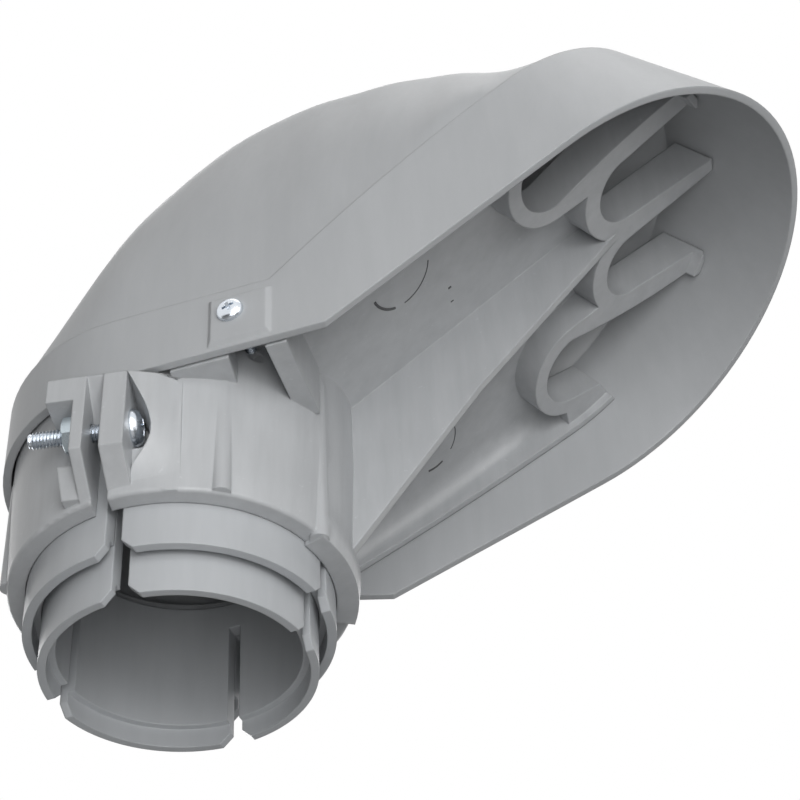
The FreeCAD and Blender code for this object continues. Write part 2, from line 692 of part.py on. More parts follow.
def prism_across(points, half_width, centre=0.0):
    """A prism over a polygon of (x, z) points, spread along Y."""
    corners = [V(x, centre - half_width, z) for x, z in points]
    return Part.Face(Part.makePolygon(corners + corners[:1])).extrude(V(0, 2 * half_width, 0))


def prism_along(points, start, length):
    """A prism over a polygon of (y, z) points, from x = start forward."""
    corners = [V(start, y, z) for y, z in points]
    return Part.Face(Part.makePolygon(corners + corners[:1])).extrude(V(length, 0, 0))


def prism_up(points, bottom, height):
    """A prism over a polygon of (x, y) points."""
    corners = [V(x, y, bottom) for x, y in points]
    return Part.Face(Part.makePolygon(corners + corners[:1])).extrude(V(0, 0, height))


def box(x_low, x_high, y_low, y_high, z_low, z_high):
    return Part.makeBox(x_high - x_low, y_high - y_low, z_high - z_low, V(x_low, y_low, z_low))


def revolved(points):
    """A full turn of a polygon of (radius, z) points."""
    corners = [V(r, 0, z) for r, z in points]
    return Part.Face(Part.makePolygon(corners + corners[:1])).revolve(V(0, 0, 0), Z_AXIS, 360)


FAR = 400.0


def plate_top(x):
    thickness = S.plate_wall / math.cos(math.radians(S.plate_angle))
    return slope_point(S.plate_rise, S.plate_angle, x) + thickness


def collar_solid():
    """Collar, stop ledge and neck. The neck's front part rises to the plate."""
    shell = revolved([
        (S.collar_bore, 0),
        (S.collar_outer, 0),
        (S.shoulder_radius, S.shoulder_height),
        (S.shoulder_radius, FAR),
        (S.shoulder_radius - S.neck_wall, FAR),
        (S.shoulder_radius - S.neck_wall, S.socket_depth + S.ledge_thickness),
        (S.collar_bore - S.ledge_width, S.socket_depth + S.ledge_thickness),
        (S.collar_bore - S.ledge_width, S.socket_depth),
        (S.collar_bore, S.socket_depth),
    ])
    rim = [edge for edge in shell.Edges
           if abs(edge.BoundBox.ZMax) < 1e-6 and abs(edge.BoundBox.XMax - S.collar_outer) < 1e-3]
    shell = shell.makeFillet(S.rim_round, rim)
    above_neck = box(-FAR, S.plate_start, -FAR, FAR, S.neck_height, FAR)
    above_plate = prism_across([
        (S.plate_start, S.neck_height),
        (S.plate_start, FAR),
        (FAR, FAR),
        (FAR, plate_top(FAR)),
        (S.plate_start + (S.neck_height - plate_top(S.plate_start)) / math.tan(math.radians(S.plate_angle)),
         S.neck_height),
    ], FAR)
    return shell.cut(above_neck).cut(above_plate)


def trough_solid():
    """The separator plate with its side lips, cut from the space inside the hood."""
    inset = S.hood_wall + S.hood_gap
    end = S.outer_slot_u + S.short_arm_tip_run
    lower = S.plate_start
    slab = prism_across([
        (lower, slope_point(S.lip_rise, S.lip_angle, lower)),
        (end, slope_point(S.lip_rise, S.lip_angle, end)),
        (end, plate_top(end)),
        (lower, plate_top(lower)),
    ], FAR)
    outer = skirt_solid(inset).common(slab)
    under = prism_across([
        (lower - 1, -FAR),
        (end + 1, -FAR),
        (end + 1, slope_point(S.plate_rise, S.plate_angle, end + 1)),
        (lower - 1, slope_point(S.plate_rise, S.plate_angle, lower - 1)),
    ], FAR)
    inner = skirt_solid(inset + S.plate_wall).common(under)
    inner = Part.Solid(inner.Solids[0])
    rounded = []
    for edge in inner.Edges:
        gaps = [abs(v.Z - slope_point(S.plate_rise, S.plate_angle, v.X)) for v in edge.Vertexes]
        spread = abs(edge.Vertexes[0].X - edge.Vertexes[-1].X)
        if max(gaps) < 1e-3 and spread > 20:
            rounded.append(edge)
    inner = inner.makeFillet(S.lip_round, rounded)
    return outer.cut(inner)


class Comb:
    """The comb's outline in its own plane, u up the slope and y across."""

    def __init__(self):
        self.placement = FreeCAD.Placement(
            V(0, 0, S.comb_rise), FreeCAD.Rotation(Y_AXIS, -S.comb_angle))

    def arc(self, points, sign):
        return Part.Arc(*[V(u, sign * y, 0) for u, y in points]).toShape()

    def line(self, start, end, sign):
        return Part.LineSegment(V(start[0], sign * start[1], 0), V(end[0], sign * end[1], 0)).toShape()

    def front_edges(self, sign):
        """From the end of the short arm, round both slots, to the middle arm's tip."""
        u = S.outer_slot_u
        radius = S.outer_slot_radius
        turn = math.radians(S.slot_turn)
        tip_u = u + S.short_arm_tip_run
        tip_y = S.short_arm_y + S.short_arm_skew
        short = (u + S.short_arm_run, S.short_arm_y)
        outer_far = (u + radius * math.cos(turn), S.outer_slot_y + radius * math.sin(turn))
        outer_near = (u, S.outer_slot_y - radius)
        arm_end = u + S.side_arm_run
        arm_out = (arm_end, S.side_arm_outer)
        arm_in = (arm_end + S.side_arm_skew, S.side_arm_inner)
        arm_tip = (arm_end + S.side_arm_nose, (S.side_arm_outer + S.side_arm_inner) / 2)
        inner_u = u + S.inner_slot_run
        inner_far = (inner_u, S.inner_slot_y + S.inner_slot_radius)
        inner_back = (inner_u - S.inner_slot_radius, S.inner_slot_y)
        inner_near = (inner_u, S.inner_slot_y - S.inner_slot_radius)
        middle_u = u + S.middle_arm_run
        half = S.middle_arm_half
        corner = half * math.sqrt(0.5)
        return [
            self.line((tip_u, FAR / 2), (tip_u, tip_y), sign),
            self.line((tip_u, tip_y), short, sign),
            self.line(short, outer_far, sign),
            self.arc([outer_far, (u - radius, S.outer_slot_y), outer_near], sign),
            self.arc([outer_near, (u + S.side_arm_run * S.side_arm_bend, S.side_arm_swell), arm_out], sign),
            self.arc([arm_out, arm_tip, arm_in], sign),
            self.line(arm_in, inner_far, sign),
            self.arc([inner_far, inner_back, inner_near], sign),
            self.line(inner_near, (middle_u, half), sign),
            self.arc([(middle_u, half), (middle_u + corner, corner), (middle_u + half, 0.0)], sign),
        ]

    def back_edges(self, sign):
        """From the middle, behind both slots, to the side of the short arm."""
        u = S.outer_slot_u
        outer_radius = S.outer_slot_radius + S.outer_slot_rim
        inner_u = u + S.inner_slot_run
        inner_radius = S.inner_slot_radius + S.inner_slot_rim
        shoulder = (u, S.outer_slot_y - outer_radius)
        joint_u = inner_u - math.sqrt(inner_radius ** 2 - (shoulder[1] - S.inner_slot_y) ** 2)
        cusp_u = inner_u - math.sqrt(inner_radius ** 2 - S.inner_slot_y ** 2)
        turn = math.radians(S.side_turn)
        side = (u + outer_radius * math.cos(turn), S.outer_slot_y + outer_radius * math.sin(turn))
        end_u = side[0] + S.side_run
        return [
            self.arc([(cusp_u, 0.0), (inner_u - inner_radius, S.inner_slot_y), (joint_u, shoulder[1])], sign),
            self.line((joint_u, shoulder[1]), shoulder, sign),
            self.arc([shoulder, (u - outer_radius, S.outer_slot_y), side], sign),
            self.line(side, (end_u, FAR / 2), sign),
            self.line((end_u, FAR / 2), (u + S.short_arm_tip_run, FAR / 2), sign),
        ]

    def solid(self, edges, low, high):
        face = flat_face(edges)
        shape = face.extrude(V(0, 0, high - low))
        shape.translate(V(0, 0, low))
        shape.Placement = self.placement.multiply(shape.Placement)
        return shape

    def ribbon(self):
        edges = []
        for sign in (-1, 1):
            edges += self.front_edges(sign) + self.back_edges(sign)
        return self.solid(edges, 0, S.comb_depth)

    def clearance(self):
        """Everything in front of the comb's front outline."""
        edges = []
        for sign in (-1, 1):
            edges += self.front_edges(sign)
            edges.append(self.line((S.outer_slot_u + S.short_arm_tip_run, FAR / 2), (FAR, FAR / 2), sign))
        edges.append(Part.LineSegment(V(FAR, -FAR / 2, 0), V(FAR, FAR / 2, 0)).toShape())
        return self.solid(edges, -FAR / 8, FAR / 8)


def gusset_solid():
    """The web under the plate, from the collar to the comb's middle."""
    comb_slope = math.radians(S.comb_angle)
    reach = (S.outer_slot_u + S.inner_slot_run - S.inner_slot_radius / 2) * math.cos(comb_slope)
    points = [
        (S.collar_bore + 2, S.gusset_foot),
        (S.collar_outer + 0.5, S.gusset_foot),
        (S.gusset_knee_x, S.gusset_knee_height),
        (reach, slope_point(S.comb_rise, S.comb_angle, reach)),
        (reach, slope_point(S.plate_rise, S.plate_angle, reach) + 1),
        (S.collar_bore + 2, slope_point(S.plate_rise, S.plate_angle, S.collar_bore + 2) + 1),
    ]
    return prism_across(points, S.gusset_wall / 2)


def bead_solid(turn, bottom, top):
    angle = math.radians(turn)
    radius = S.collar_outer + S.collar_flare / 2 - S.bead_sink
    return Part.makeCylinder(
        S.bead_radius, top - bottom, V(radius * math.cos(angle), radius * math.sin(angle), bottom))


def rim_lug_solid():
    """The thicker sector at the front of the collar's rim, with a sloped top."""
    outer = S.collar_outer + S.rim_lug_raise
    profile = [
        (S.collar_bore, -S.rim_lug_drop),
        (outer, -S.rim_lug_drop),
        (outer + S.collar_flare / 2, S.rim_lug_height / 2),
        (S.collar_outer, S.rim_lug_height),
        (S.collar_bore, S.rim_lug_height),
    ]
    corners = [V(r, 0, z) for r, z in profile]
    face = Part.Face(Part.makePolygon(corners + corners[:1]))
    face.rotate(V(0, 0, 0), Z_AXIS, S.rim_lug_start)
    return face.revolve(V(0, 0, 0), Z_AXIS, S.rim_lug_end - S.rim_lug_start)


def ear_planes():
    """X of the gap's left and right faces, the stem's outer face and the face under the screw's head."""
    left = S.ear_gap_centre - S.ear_gap / 2
    right = S.ear_gap_centre + S.ear_gap / 2
    return left, right, left - S.left_ear_thickness, right + S.right_ear_thickness


def hull(corners, faces):
    """A solid with flat faces, each a tuple of corner numbers."""
    made = []
    for face in faces:
        loop = [corners[i] for i in face]
        made.append(Part.Face(Part.makePolygon(loop + loop[:1])))
    return sewn_solid(made)


def wing_solid(head_face):
    """The web that carries the right ear's outer corner back to the collar, with its top and foot."""
    root_y = S.ear_root - S.collar_bore
    end_x = head_face + S.wing_run
    corners = [
        V(head_face, -S.ear_reach, S.ear_top),
        V(head_face, -S.ear_reach, S.ear_nose),
        V(head_face, -S.ear_toe, 0),
        V(end_x, -S.wing_y, S.wing_top),
        V(end_x, -S.wing_y, 0),
        V(head_face, root_y, S.wing_top),
        V(head_face, root_y, 0),
        V(end_x, root_y, S.wing_top),
        V(end_x, root_y, 0),
    ]
    faces = [
        (0, 1, 3), (1, 4, 3), (1, 2, 4),
        (2, 6, 8), (2, 8, 4),
        (0, 3, 5), (3, 7, 5),
        (3, 4, 8, 7),
        (5, 7, 8, 6),
        (0, 5, 6, 2, 1),
    ]
    return hull(corners, faces)


def ear_solids():
    """Both clamp ears, the ramp that joins their tops to the neck and the web beside the right one."""
    gap_left, gap_right, stem, head_face = ear_planes()
    root_y = S.ear_root - S.collar_bore
    profile = [
        (root_y, S.ear_top),
        (-S.ear_reach, S.ear_top),
        (-S.ear_reach, S.ear_nose),
        (-S.ear_toe, 0),
        (root_y, 0),
    ]
    right = prism_along(profile, gap_right, S.right_ear_thickness)
    left = prism_along(profile, stem, S.left_ear_thickness)
    roof_bottom = S.clamp_screw_height + S.nut_width / 2 + S.nut_fit
    roof = box(stem - S.nut_cap_reach, stem, -S.ear_reach, root_y, roof_bottom, S.ear_top)
    lug = prism_along([
        (-S.lug_front, S.lug_top),
        (-S.lug_toe, S.lug_top - S.lug_height),
        (root_y, S.lug_top - S.lug_height),
        (root_y, S.lug_top),
    ], stem - S.lug_width, S.lug_width)
    ramp = prism_along([
        (root_y, S.ear_top),
        (-S.ear_reach, S.ear_top),
        (-S.ear_reach + S.ear_top - S.split_height, S.split_height),
        (root_y, S.split_height),
    ], gap_left, S.ear_gap)
    return [left, right, roof, lug, ramp, wing_solid(head_face)]


def head_recess(head_face):
    """A scoop beside the right ear that leaves room for the screw's head."""
    head_room = S.clamp_head_diameter / 2 + S.head_clearance
    inner = head_room - S.clamp_screw_reach
    depth = S.clamp_head_height + S.head_clearance
    plan = prism_up([
        (head_face, -FAR),
        (head_face, inner),
        (head_face + depth, inner),
        (head_face + S.recess_bulge, -S.wing_y),
        (head_face + S.recess_bulge, -FAR),
    ], 0, S.ear_top)
    side = prism_across([
        (head_face, S.ear_top - S.head_clearance),
        (head_face + depth + S.head_clearance, S.clamp_screw_height + head_room / 2),
        (head_face + S.recess_bulge, S.recess_bulge_height),
        (head_face + depth, S.recess_bottom),
        (head_face, S.recess_bottom),
    ], FAR)
    return plan.common(side)


def clamp_cuts():
    """The collar's split, the screw's hole, the head's recess and the nut's channel."""
    gap_left, gap_right, stem, head_face = ear_planes()
    axis = V(-FAR / 4, -S.clamp_screw_reach, S.clamp_screw_height)
    split = box(gap_left, gap_right, -FAR, 0, -1, S.split_height)
    hole = Part.makeCylinder(S.clamp_screw_diameter / 2 + S.ear_hole_gap, FAR / 4 + 5, axis, X_AXIS)
    half_corner = S.nut_width / 2 / math.cos(math.radians(30)) + S.nut_fit
    half_flat = S.nut_width / 2 + S.nut_fit
    channel = box(
        stem - S.nut_cap_reach, stem, -FAR, half_corner - S.clamp_screw_reach,
        S.clamp_screw_height - half_flat, S.clamp_screw_height + half_flat)
    return [split, hole, head_recess(head_face), channel]


def bracket_solids(sign):
    """Wedge, web, screw wall and shelf between the neck and one side of the hood."""
    inset = S.hood_wall + S.hood_gap
    room = skirt_solid(inset)
    low_room = room.fuse(room.translated(V(0, 0, S.web_outer_height - S.skirt_height - 1)))
    core = Part.makeCylinder(S.shoulder_radius - S.neck_wall / 2, FAR, V(0, 0, -1))
    y_low, y_high = (0, FAR) if sign > 0 else (-FAR, 0)
    far = HoodOutline(0).side(S.web_front)
    near = S.shoulder_radius / 2

    def underside(outer_height, top, start, length):
        return prism_along([
            (sign * far, top),
            (sign * far, outer_height),
            (sign * near, S.web_inner_height),
            (sign * near, top),
        ], start, length)

    wedge_length = S.wedge_front - S.bracket_back
    wedge = underside(S.wedge_outer_height, S.skirt_height + S.wedge_height, S.bracket_back, wedge_length)
    web = underside(S.web_outer_height, S.bracket_top, S.web_back, S.web_front - S.web_back)
    wall = box(S.boss_back, S.web_front, y_low, y_high, S.boss_bottom, S.bracket_top)
    wall = wall.common(room).cut(skirt_solid(inset + S.boss_wall))
    shelf_bottom = S.bracket_top - S.shelf_wall
    shelf = box(S.boss_back, S.web_front, y_low, y_high, shelf_bottom, S.bracket_top).common(room)
    web.rotate(V(S.web_front, sign * far, 0), Z_AXIS, sign * S.web_turn)
    pieces = [wedge.common(low_room), web.common(low_room), wall, shelf]
    return [piece.cut(core) for piece in pieces]


def make_body():
    comb = Comb()
    inset = S.hood_wall + S.hood_gap
    room = skirt_solid(inset)
    passage = Part.makeCylinder(S.shoulder_radius - S.neck_wall, FAR, V(0, 0, S.socket_depth + 2))
    plate = trough_solid().cut(comb.clearance()).cut(passage)
    teeth = comb.ribbon().common(room)
    adds = [plate, teeth, gusset_solid()]
    adds.append(bead_solid(S.near_bead_turn, S.rim_round / 2, S.near_bead_top))
    adds.append(bead_solid(S.front_bead_turn, -S.rim_round, S.front_bead_top))
    adds.append(bead_solid(S.back_bead_turn, S.rim_round / 2, S.shoulder_height - 1))
    adds.append(rim_lug_solid())
    adds += ear_solids()
    for sign in (-1, 1):
        adds += bracket_solids(sign)
    shape = collar_solid().fuse(adds)
    socket = Part.makeCylinder(S.collar_bore, 2 * S.socket_depth, V(0, 0, -S.socket_depth))
    throat = Part.makeCylinder(S.collar_bore - S.ledge_width, FAR / 8, V(0, 0, 10))
    neck = Part.makeCylinder(S.shoulder_radius - S.neck_wall, FAR, V(0, 0, S.socket_depth + S.ledge_thickness))
    shape = shape.cut([socket, throat, neck])
    shape = shape.cut(clamp_cuts())
    radius = S.cover_screw_diameter / 2 + S.seat_gap
    for sign in (-1, 1):
        shape = shape.cut(screw_hole(sign, radius, 0, S.screw_hole_reach))
    return place_feature("body", shape)


def make_hardware():
    gap_left, gap_right, stem, head_side = ear_planes()
    screw = make_screw(
        "clamp_screw", "Sizes.clamp_screw_diameter", "Sizes.clamp_screw_length",
        "Sizes.clamp_head_diameter", "Sizes.clamp_head_height", "Sizes.clamp_head_height * 0.6")
    head_face = head_side + S.seat_gap
    axis = V(0, -S.clamp_screw_reach, S.clamp_screw_height)
    screw.Placement = FreeCAD.Placement(axis + V(head_face, 0, 0), FreeCAD.Rotation(Z_AXIS, X_AXIS))
    nut = make_nut("clamp_nut")
    nut_face = stem - S.seat_gap
    nut.Placement = FreeCAD.Placement(axis + V(nut_face, 0, 0), FreeCAD.Rotation(Z_AXIS, X_AXIS * -1))
    made = [screw, nut]
    for label, sign in (("cover_screw_right", -1), ("cover_screw_left", 1)):
        cover_screw = make_screw(
            label, "Sizes.cover_screw_diameter", "Sizes.cover_screw_length",
            "Sizes.cover_head_diameter", "Sizes.cover_head_height", "Sizes.cover_head_height * 0.6")
        centre, outward, forward = side_frame(sign)
        seat = centre + outward * (S.pad_raise + S.seat_gap)
        cover_screw.Placement = FreeCAD.Placement(seat, FreeCAD.Rotation(Z_AXIS, outward))
        made.append(cover_screw)
    return made


nodes = [
    make_body(),
    make_cover(),
    make_ring("outer_reducer", OUTER_BORE, OUTER_OUTER, "Sizes.outer_ring_drop"),
    make_ring("inner_reducer", INNER_BORE, INNER_OUTER, BOTH_DROPS),
]
nodes += make_hardware()
doc.recompute()

for item in doc.Objects:
    if "Invalid" in item.State or "Error" in item.State:
        raise RuntimeError(item.Label + " did not recompute")
os.makedirs("parts", exist_ok=True)
for node in nodes:
    shape = node.Shape
    if shape.isNull() or not shape.isValid() or len(shape.Solids) != 1:
        raise RuntimeError("%s is not one valid solid: %s" % (node.Label, shape))
    shape.exportStep("parts/%s.step" % node.Label)
    bounds = shape.BoundBox
    print("%-18s %9.0f mm3  x %.1f..%.1f  y %.1f..%.1f  z %.1f..%.1f" % (
        node.Label, shape.Volume, bounds.XMin, bounds.XMax, bounds.YMin, bounds.YMax, bounds.ZMin, bounds.ZMax))
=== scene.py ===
import bmesh
import bpy
import math
from mathutils import Matrix, Vector


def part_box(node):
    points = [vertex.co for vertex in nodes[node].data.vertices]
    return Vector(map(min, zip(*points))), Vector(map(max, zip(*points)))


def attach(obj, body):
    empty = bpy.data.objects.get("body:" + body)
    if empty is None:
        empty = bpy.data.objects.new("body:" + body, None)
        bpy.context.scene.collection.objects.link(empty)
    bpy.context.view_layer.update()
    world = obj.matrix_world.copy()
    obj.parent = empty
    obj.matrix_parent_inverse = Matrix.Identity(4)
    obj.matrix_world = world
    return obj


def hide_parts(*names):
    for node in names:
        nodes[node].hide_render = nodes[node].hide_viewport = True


# %% [markdown]
# # A service entrance weatherhead
# This lesson dresses a moulded PVC weatherhead, the hooded fitting on top of a conduit mast where service
# conductors leave the building. The solids come from the CAD model and stay where they are. Blender adds what
# a solid model leaves out: real plastic, zinc screws with threads, and the marks that the mould left.

# %% Load the solids
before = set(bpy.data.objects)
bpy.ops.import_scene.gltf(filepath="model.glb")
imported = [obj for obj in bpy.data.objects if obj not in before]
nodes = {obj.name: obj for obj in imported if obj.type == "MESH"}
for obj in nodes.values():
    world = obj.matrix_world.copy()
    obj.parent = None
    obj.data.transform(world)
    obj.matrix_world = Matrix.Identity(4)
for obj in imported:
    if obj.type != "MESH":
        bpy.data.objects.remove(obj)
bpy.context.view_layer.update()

MM = 0.001

# %% [markdown]
# ## Camera
# The photograph looks up at the fitting from below, in front and to the right, with a long lens. The
# camera's place and angles were worked out from the collar's rings and the hood's rim, whose shapes are
# known. A camera could also be aimed with a Track To constraint, but plain angles keep its slight roll.

# %% Aim the camera
CAMERA_PLACE = Vector((143.61, -549.65, -426.95)) * MM
YAW = 0.1045
PITCH = 0.7492
ROLL = -0.0623
LENS = 85.0
SENSOR = 36.0
CLIP_START = 0.01


def camera_axes(yaw, pitch, roll):
    """Right, up and viewing directions of a camera that looks along +Y and is then turned."""
    level_share = math.cos(pitch)
    ahead = Vector((-math.sin(yaw) * level_share, math.cos(yaw) * level_share, math.sin(pitch)))
    level = Vector((math.cos(yaw), math.sin(yaw), 0))
    above = level.cross(ahead)
    right = level * math.cos(roll) + above * math.sin(roll)
    up = above * math.cos(roll) - level * math.sin(roll)
    return right, up, ahead


def placed(x_axis, y_axis, z_axis, origin):
    """The matrix that puts an object's own axes along the given directions."""
    matrix = Matrix.Identity(4)
    for column, vector in enumerate((x_axis, y_axis, z_axis, origin)):
        for row in range(3):
            matrix[row][column] = vector[row]
    return matrix


right, up, ahead = camera_axes(YAW, PITCH, ROLL)
camera_data = bpy.data.cameras.new("photo_camera")
camera_data.lens = LENS
camera_data.sensor_width = SENSOR
camera_data.clip_start = CLIP_START
camera = bpy.data.objects.new("photo_camera", camera_data)
bpy.context.scene.collection.objects.link(camera)
camera.matrix_world = placed(right, up, -ahead, CAMERA_PLACE)
bpy.context.scene.camera = camera
bpy.context.scene.view_settings.view_transform = "Standard"
print("camera looks along", [round(value, 3) for value in ahead])

# %% [markdown]
# ## Writing shaders as sums
# Shader nodes are easier to read as arithmetic. A small class wraps one output socket, so that `a * 0.5 + b`
# makes the Math nodes by itself. Every other node comes from one method that takes the node's type, its
# settings, and what goes into its sockets.

# %% A socket that can be added and multiplied
BEVEL_SAMPLES = 6


class Wire:
    """One output socket in a finish's node tree."""

    def __init__(self, finish, socket):
        self.finish = finish
        self.socket = socket

    def maths(self, operation, *values, clamp=False):
        settings = {"operation": operation, "use_clamp": clamp}
        return self.finish.node("ShaderNodeMath", settings, dict(enumerate(values)))

    def __add__(self, other):
        return self.maths("ADD", self, other)

    def __radd__(self, other):
        return self.maths("ADD", other, self)

    def __sub__(self, other):
        return self.maths("SUBTRACT", self, other)

    def __mul__(self, other):
        return self.maths("MULTIPLY", self, other)

    def clipped(self):
        return self.maths("ADD", self, 0.0, clamp=True)


class Finish:
    """A material with a Principled shader and the tree that feeds it."""

    def __init__(self, name):
        self.material = bpy.data.materials.new(name)
        self.material.use_nodes = True
        self.tree = self.material.node_tree
        self.shader = self.tree.nodes["Principled BSDF"]
        self.place = self.node("ShaderNodeTexCoord", output="Object")

    def node(self, kind, settings=None, inputs=None, output=0):
        """Makes a node, sets it up, fills its sockets and returns one of its outputs."""
        made = self.tree.nodes.new(kind)
        for name, value in (settings or {}).items():
            if name == "stops":
                self.set_stops(made.color_ramp, value)
            else:
                setattr(made, name, value)
        self.fill(made, inputs or {})
        return Wire(self, made.outputs[output])

    def fill(self, target, inputs):
        for key, value in inputs.items():
            if isinstance(value, Wire):
                self.tree.links.new(value.socket, target.inputs[key])
            else:
                target.inputs[key].default_value = value

    def set_stops(self, ramp, stops):
        while len(ramp.elements) < len(stops):
            ramp.elements.new(0.5)
        for element, (position, shade) in zip(ramp.elements, stops):
            element.position = position
            element.color = (shade, shade, shade, 1)

    def noise(self, scale, detail=2.0, roughness=0.5, place=None):
        inputs = {"Vector": place or self.place, "Scale": scale, "Detail": detail, "Roughness": roughness}
        return self.node("ShaderNodeTexNoise", {}, inputs)

    def stretched(self, scales):
        """The object's coordinates multiplied along each axis."""
        inputs = {"Vector": self.place, "Scale": scales}
        return self.node("ShaderNodeMapping", {"vector_type": "POINT"}, inputs)

    def ramp(self, value, stops):
        return self.node("ShaderNodeValToRGB", {"stops": stops}, {"Fac": value})

    def mix(self, share, first, second):
        """A colour between two colours."""
        inputs = {0: share, 6: first, 7: second}
        return self.node("ShaderNodeMix", {"data_type": "RGBA", "clamp_factor": True}, inputs, output=2)

    def bump(self, height, distance, strength, normal):
        """Normals that follow a height, on top of other normals."""
        inputs = {"Height": height, "Distance": distance, "Strength": strength, "Normal": normal}
        return self.node("ShaderNodeBump", {}, inputs)

    def soft_edges(self, radius):
        """Normals that round every sharp edge a little, as a mould does."""
        return self.node("ShaderNodeBevel", {"samples": BEVEL_SAMPLES}, {"Radius": radius})

    def finish(self, **sockets):
        """Feeds the shader; the keywords are its socket names with _ for a space."""
        self.fill(self.shader, {key.replace("_", " "): value for key, value in sockets.items()})
        return self.material


def grey(level, warmth=0.0):
    """An sRGB grey from 0 to 255 as a linear colour, a little warm or cool."""
    def linear(value):
        share = value / 255
        return share / 12.92 if share <= 0.04045 else ((share + 0.055) / 1.055) ** 2.4

    return (linear(level + warmth), linear(level), linear(level - warmth), 1.0)


# %% [markdown]
# ## Moulded PVC
# The hood is a smooth, even, light grey with a soft gloss. Close up, rigid PVC is never one flat colour: it
# is cloudy where the melt cooled unevenly, and its skin has the faint orange peel of the mould. One function
# makes all the greys, and what changes is passed in, so that hood, body and rings stay one family.

# %% The grey plastics
CLOUD_SCALE = 9.0
STREAK_SCALES = (160.0, 160.0, 22.0)
STREAK_SHARE = 0.6
GRAIN_SCALE = 520.0
SPECK_SCALE = 300.0
SPECK_STOPS = [(0.0, 0.0), (0.66, 0.0), (0.74, 1.0), (1.0, 1.0)]
SPECK_LIFT = 38
PALEST = 250
TONE_REACH = 14
PEEL_SCALE = 420.0
PEEL_SHARE = 0.7
PEEL_DEPTH = 0.00006
PEEL_STRENGTH = 0.5
GRAIN_ROUGHNESS = 0.10
CLOUD_ROUGHNESS = 0.08
PVC_IOR = 1.5


def moulded_plastic(name, shade, warmth, cloud, speck, roughness, edge):
    """Rigid PVC: clouds, faint flow streaks, pale specks, orange peel and rounded edges."""
    finish = Finish(name)
    clouds = finish.noise(CLOUD_SCALE, detail=3.0, roughness=0.55)
    streaks = finish.noise(1.0, detail=4.0, roughness=0.6, place=finish.stretched(STREAK_SCALES))
    grain = finish.noise(GRAIN_SCALE, detail=2.0, roughness=0.6)
    specks = finish.ramp(finish.noise(SPECK_SCALE, detail=3.0, roughness=0.7), SPECK_STOPS)
    tone = ((clouds - 0.5) * cloud + (streaks - 0.5) * cloud * STREAK_SHARE + 0.5).clipped()
    colour = finish.mix(tone, grey(shade - TONE_REACH, warmth), grey(shade + TONE_REACH, warmth))
    pale = grey(min(shade + SPECK_LIFT, PALEST), warmth)
    colour = finish.mix(specks * speck, colour, pale)
    peel = finish.noise(PEEL_SCALE) * PEEL_SHARE + grain * (1 - PEEL_SHARE)
    normal = finish.bump(peel, PEEL_DEPTH, PEEL_STRENGTH, finish.soft_edges(edge))
    rough = (roughness + (grain - 0.5) * GRAIN_ROUGHNESS + (clouds - 0.5) * CLOUD_ROUGHNESS).clipped()
    return finish.finish(Base_Color=colour, Roughness=rough, Normal=normal, IOR=PVC_IOR)


HOOD_PLASTIC = moulded_plastic(
    "hood_pvc_smooth", shade=173, warmth=-2.2, cloud=0.6, speck=0.04, roughness=0.42, edge=0.0011)
BODY_PLASTIC = moulded_plastic(
    "body_pvc_cast", shade=177, warmth=-2.2, cloud=1.3, speck=0.24, roughness=0.34, edge=0.0010)
RING_PLASTIC = moulded_plastic(
    "reducer_pvc", shade=177, warmth=-2.8, cloud=0.7, speck=0.06, roughness=0.36, edge=0.0008)
print("plastics:", HOOD_PLASTIC.name, BODY_PLASTIC.name, RING_PLASTIC.name)

# %% [markdown]
# ## Zinc-plated steel
# The screws and the nut are bright zinc with a cool, slightly blue passivate. Metal shows mostly what is
# around it, so its colour is nearly white, and the life comes from small changes in roughness.

# %% The zinc plating
BLOTCH_SCALE = 260.0
CRYSTAL_SCALE = 1800.0
CRYSTAL_DEPTH = 0.00001
CRYSTAL_STRENGTH = 0.4
DULL_SHARES = (0.78, 0.80, 0.84)
BLOTCH_ROUGHNESS = 0.25
CRYSTAL_ROUGHNESS = 0.1
ZINC_EDGE = 0.00025


def zinc_plate(name, tint, roughness):
    """Bright zinc: a tint that turns duller in blotches, with a fine crystal grain."""
    finish = Finish(name)
    blotch = finish.noise(BLOTCH_SCALE, detail=4.0, roughness=0.6)
    grain = finish.noise(CRYSTAL_SCALE)
    dull = [part * share for part, share in zip(tint, DULL_SHARES)]
    colour = finish.mix(blotch, (*dull, 1.0), (*tint, 1.0))
    rough = (roughness + (blotch - 0.5) * BLOTCH_ROUGHNESS + (grain - 0.5) * CRYSTAL_ROUGHNESS).clipped()
    normal = finish.bump(grain, CRYSTAL_DEPTH, CRYSTAL_STRENGTH, finish.soft_edges(ZINC_EDGE))
    return finish.finish(Base_Color=colour, Roughness=rough, Normal=normal, Metallic=1.0)


SCREW_ZINC = zinc_plate("zinc_bright", (0.78, 0.82, 0.86), 0.24)
NUT_ZINC = zinc_plate("zinc_blue", (0.60, 0.67, 0.70), 0.30)
print("metals:", SCREW_ZINC.name, NUT_ZINC.name)

# %% [markdown]
# ## Dressing the solids
# The four moulded solids get their plastics in their material slots. The two rings stay as the CAD has them.
# Their meshes come split at sharp edges, so no shading angle has to be chosen here.

# %% Give the moulded solids their plastics
DRESS = {
    "cover": HOOD_PLASTIC,
    "body": BODY_PLASTIC,
    "outer_reducer": RING_PLASTIC,
    "inner_reducer": RING_PLASTIC,
}
for node_name, material in DRESS.items():
    solid = nodes[node_name]
    if not solid.material_slots:
        solid.data.materials.append(material)
    for material_slot in solid.material_slots:
        material_slot.material = material
    print(node_name, "has", len(solid.data.polygons), "faces")

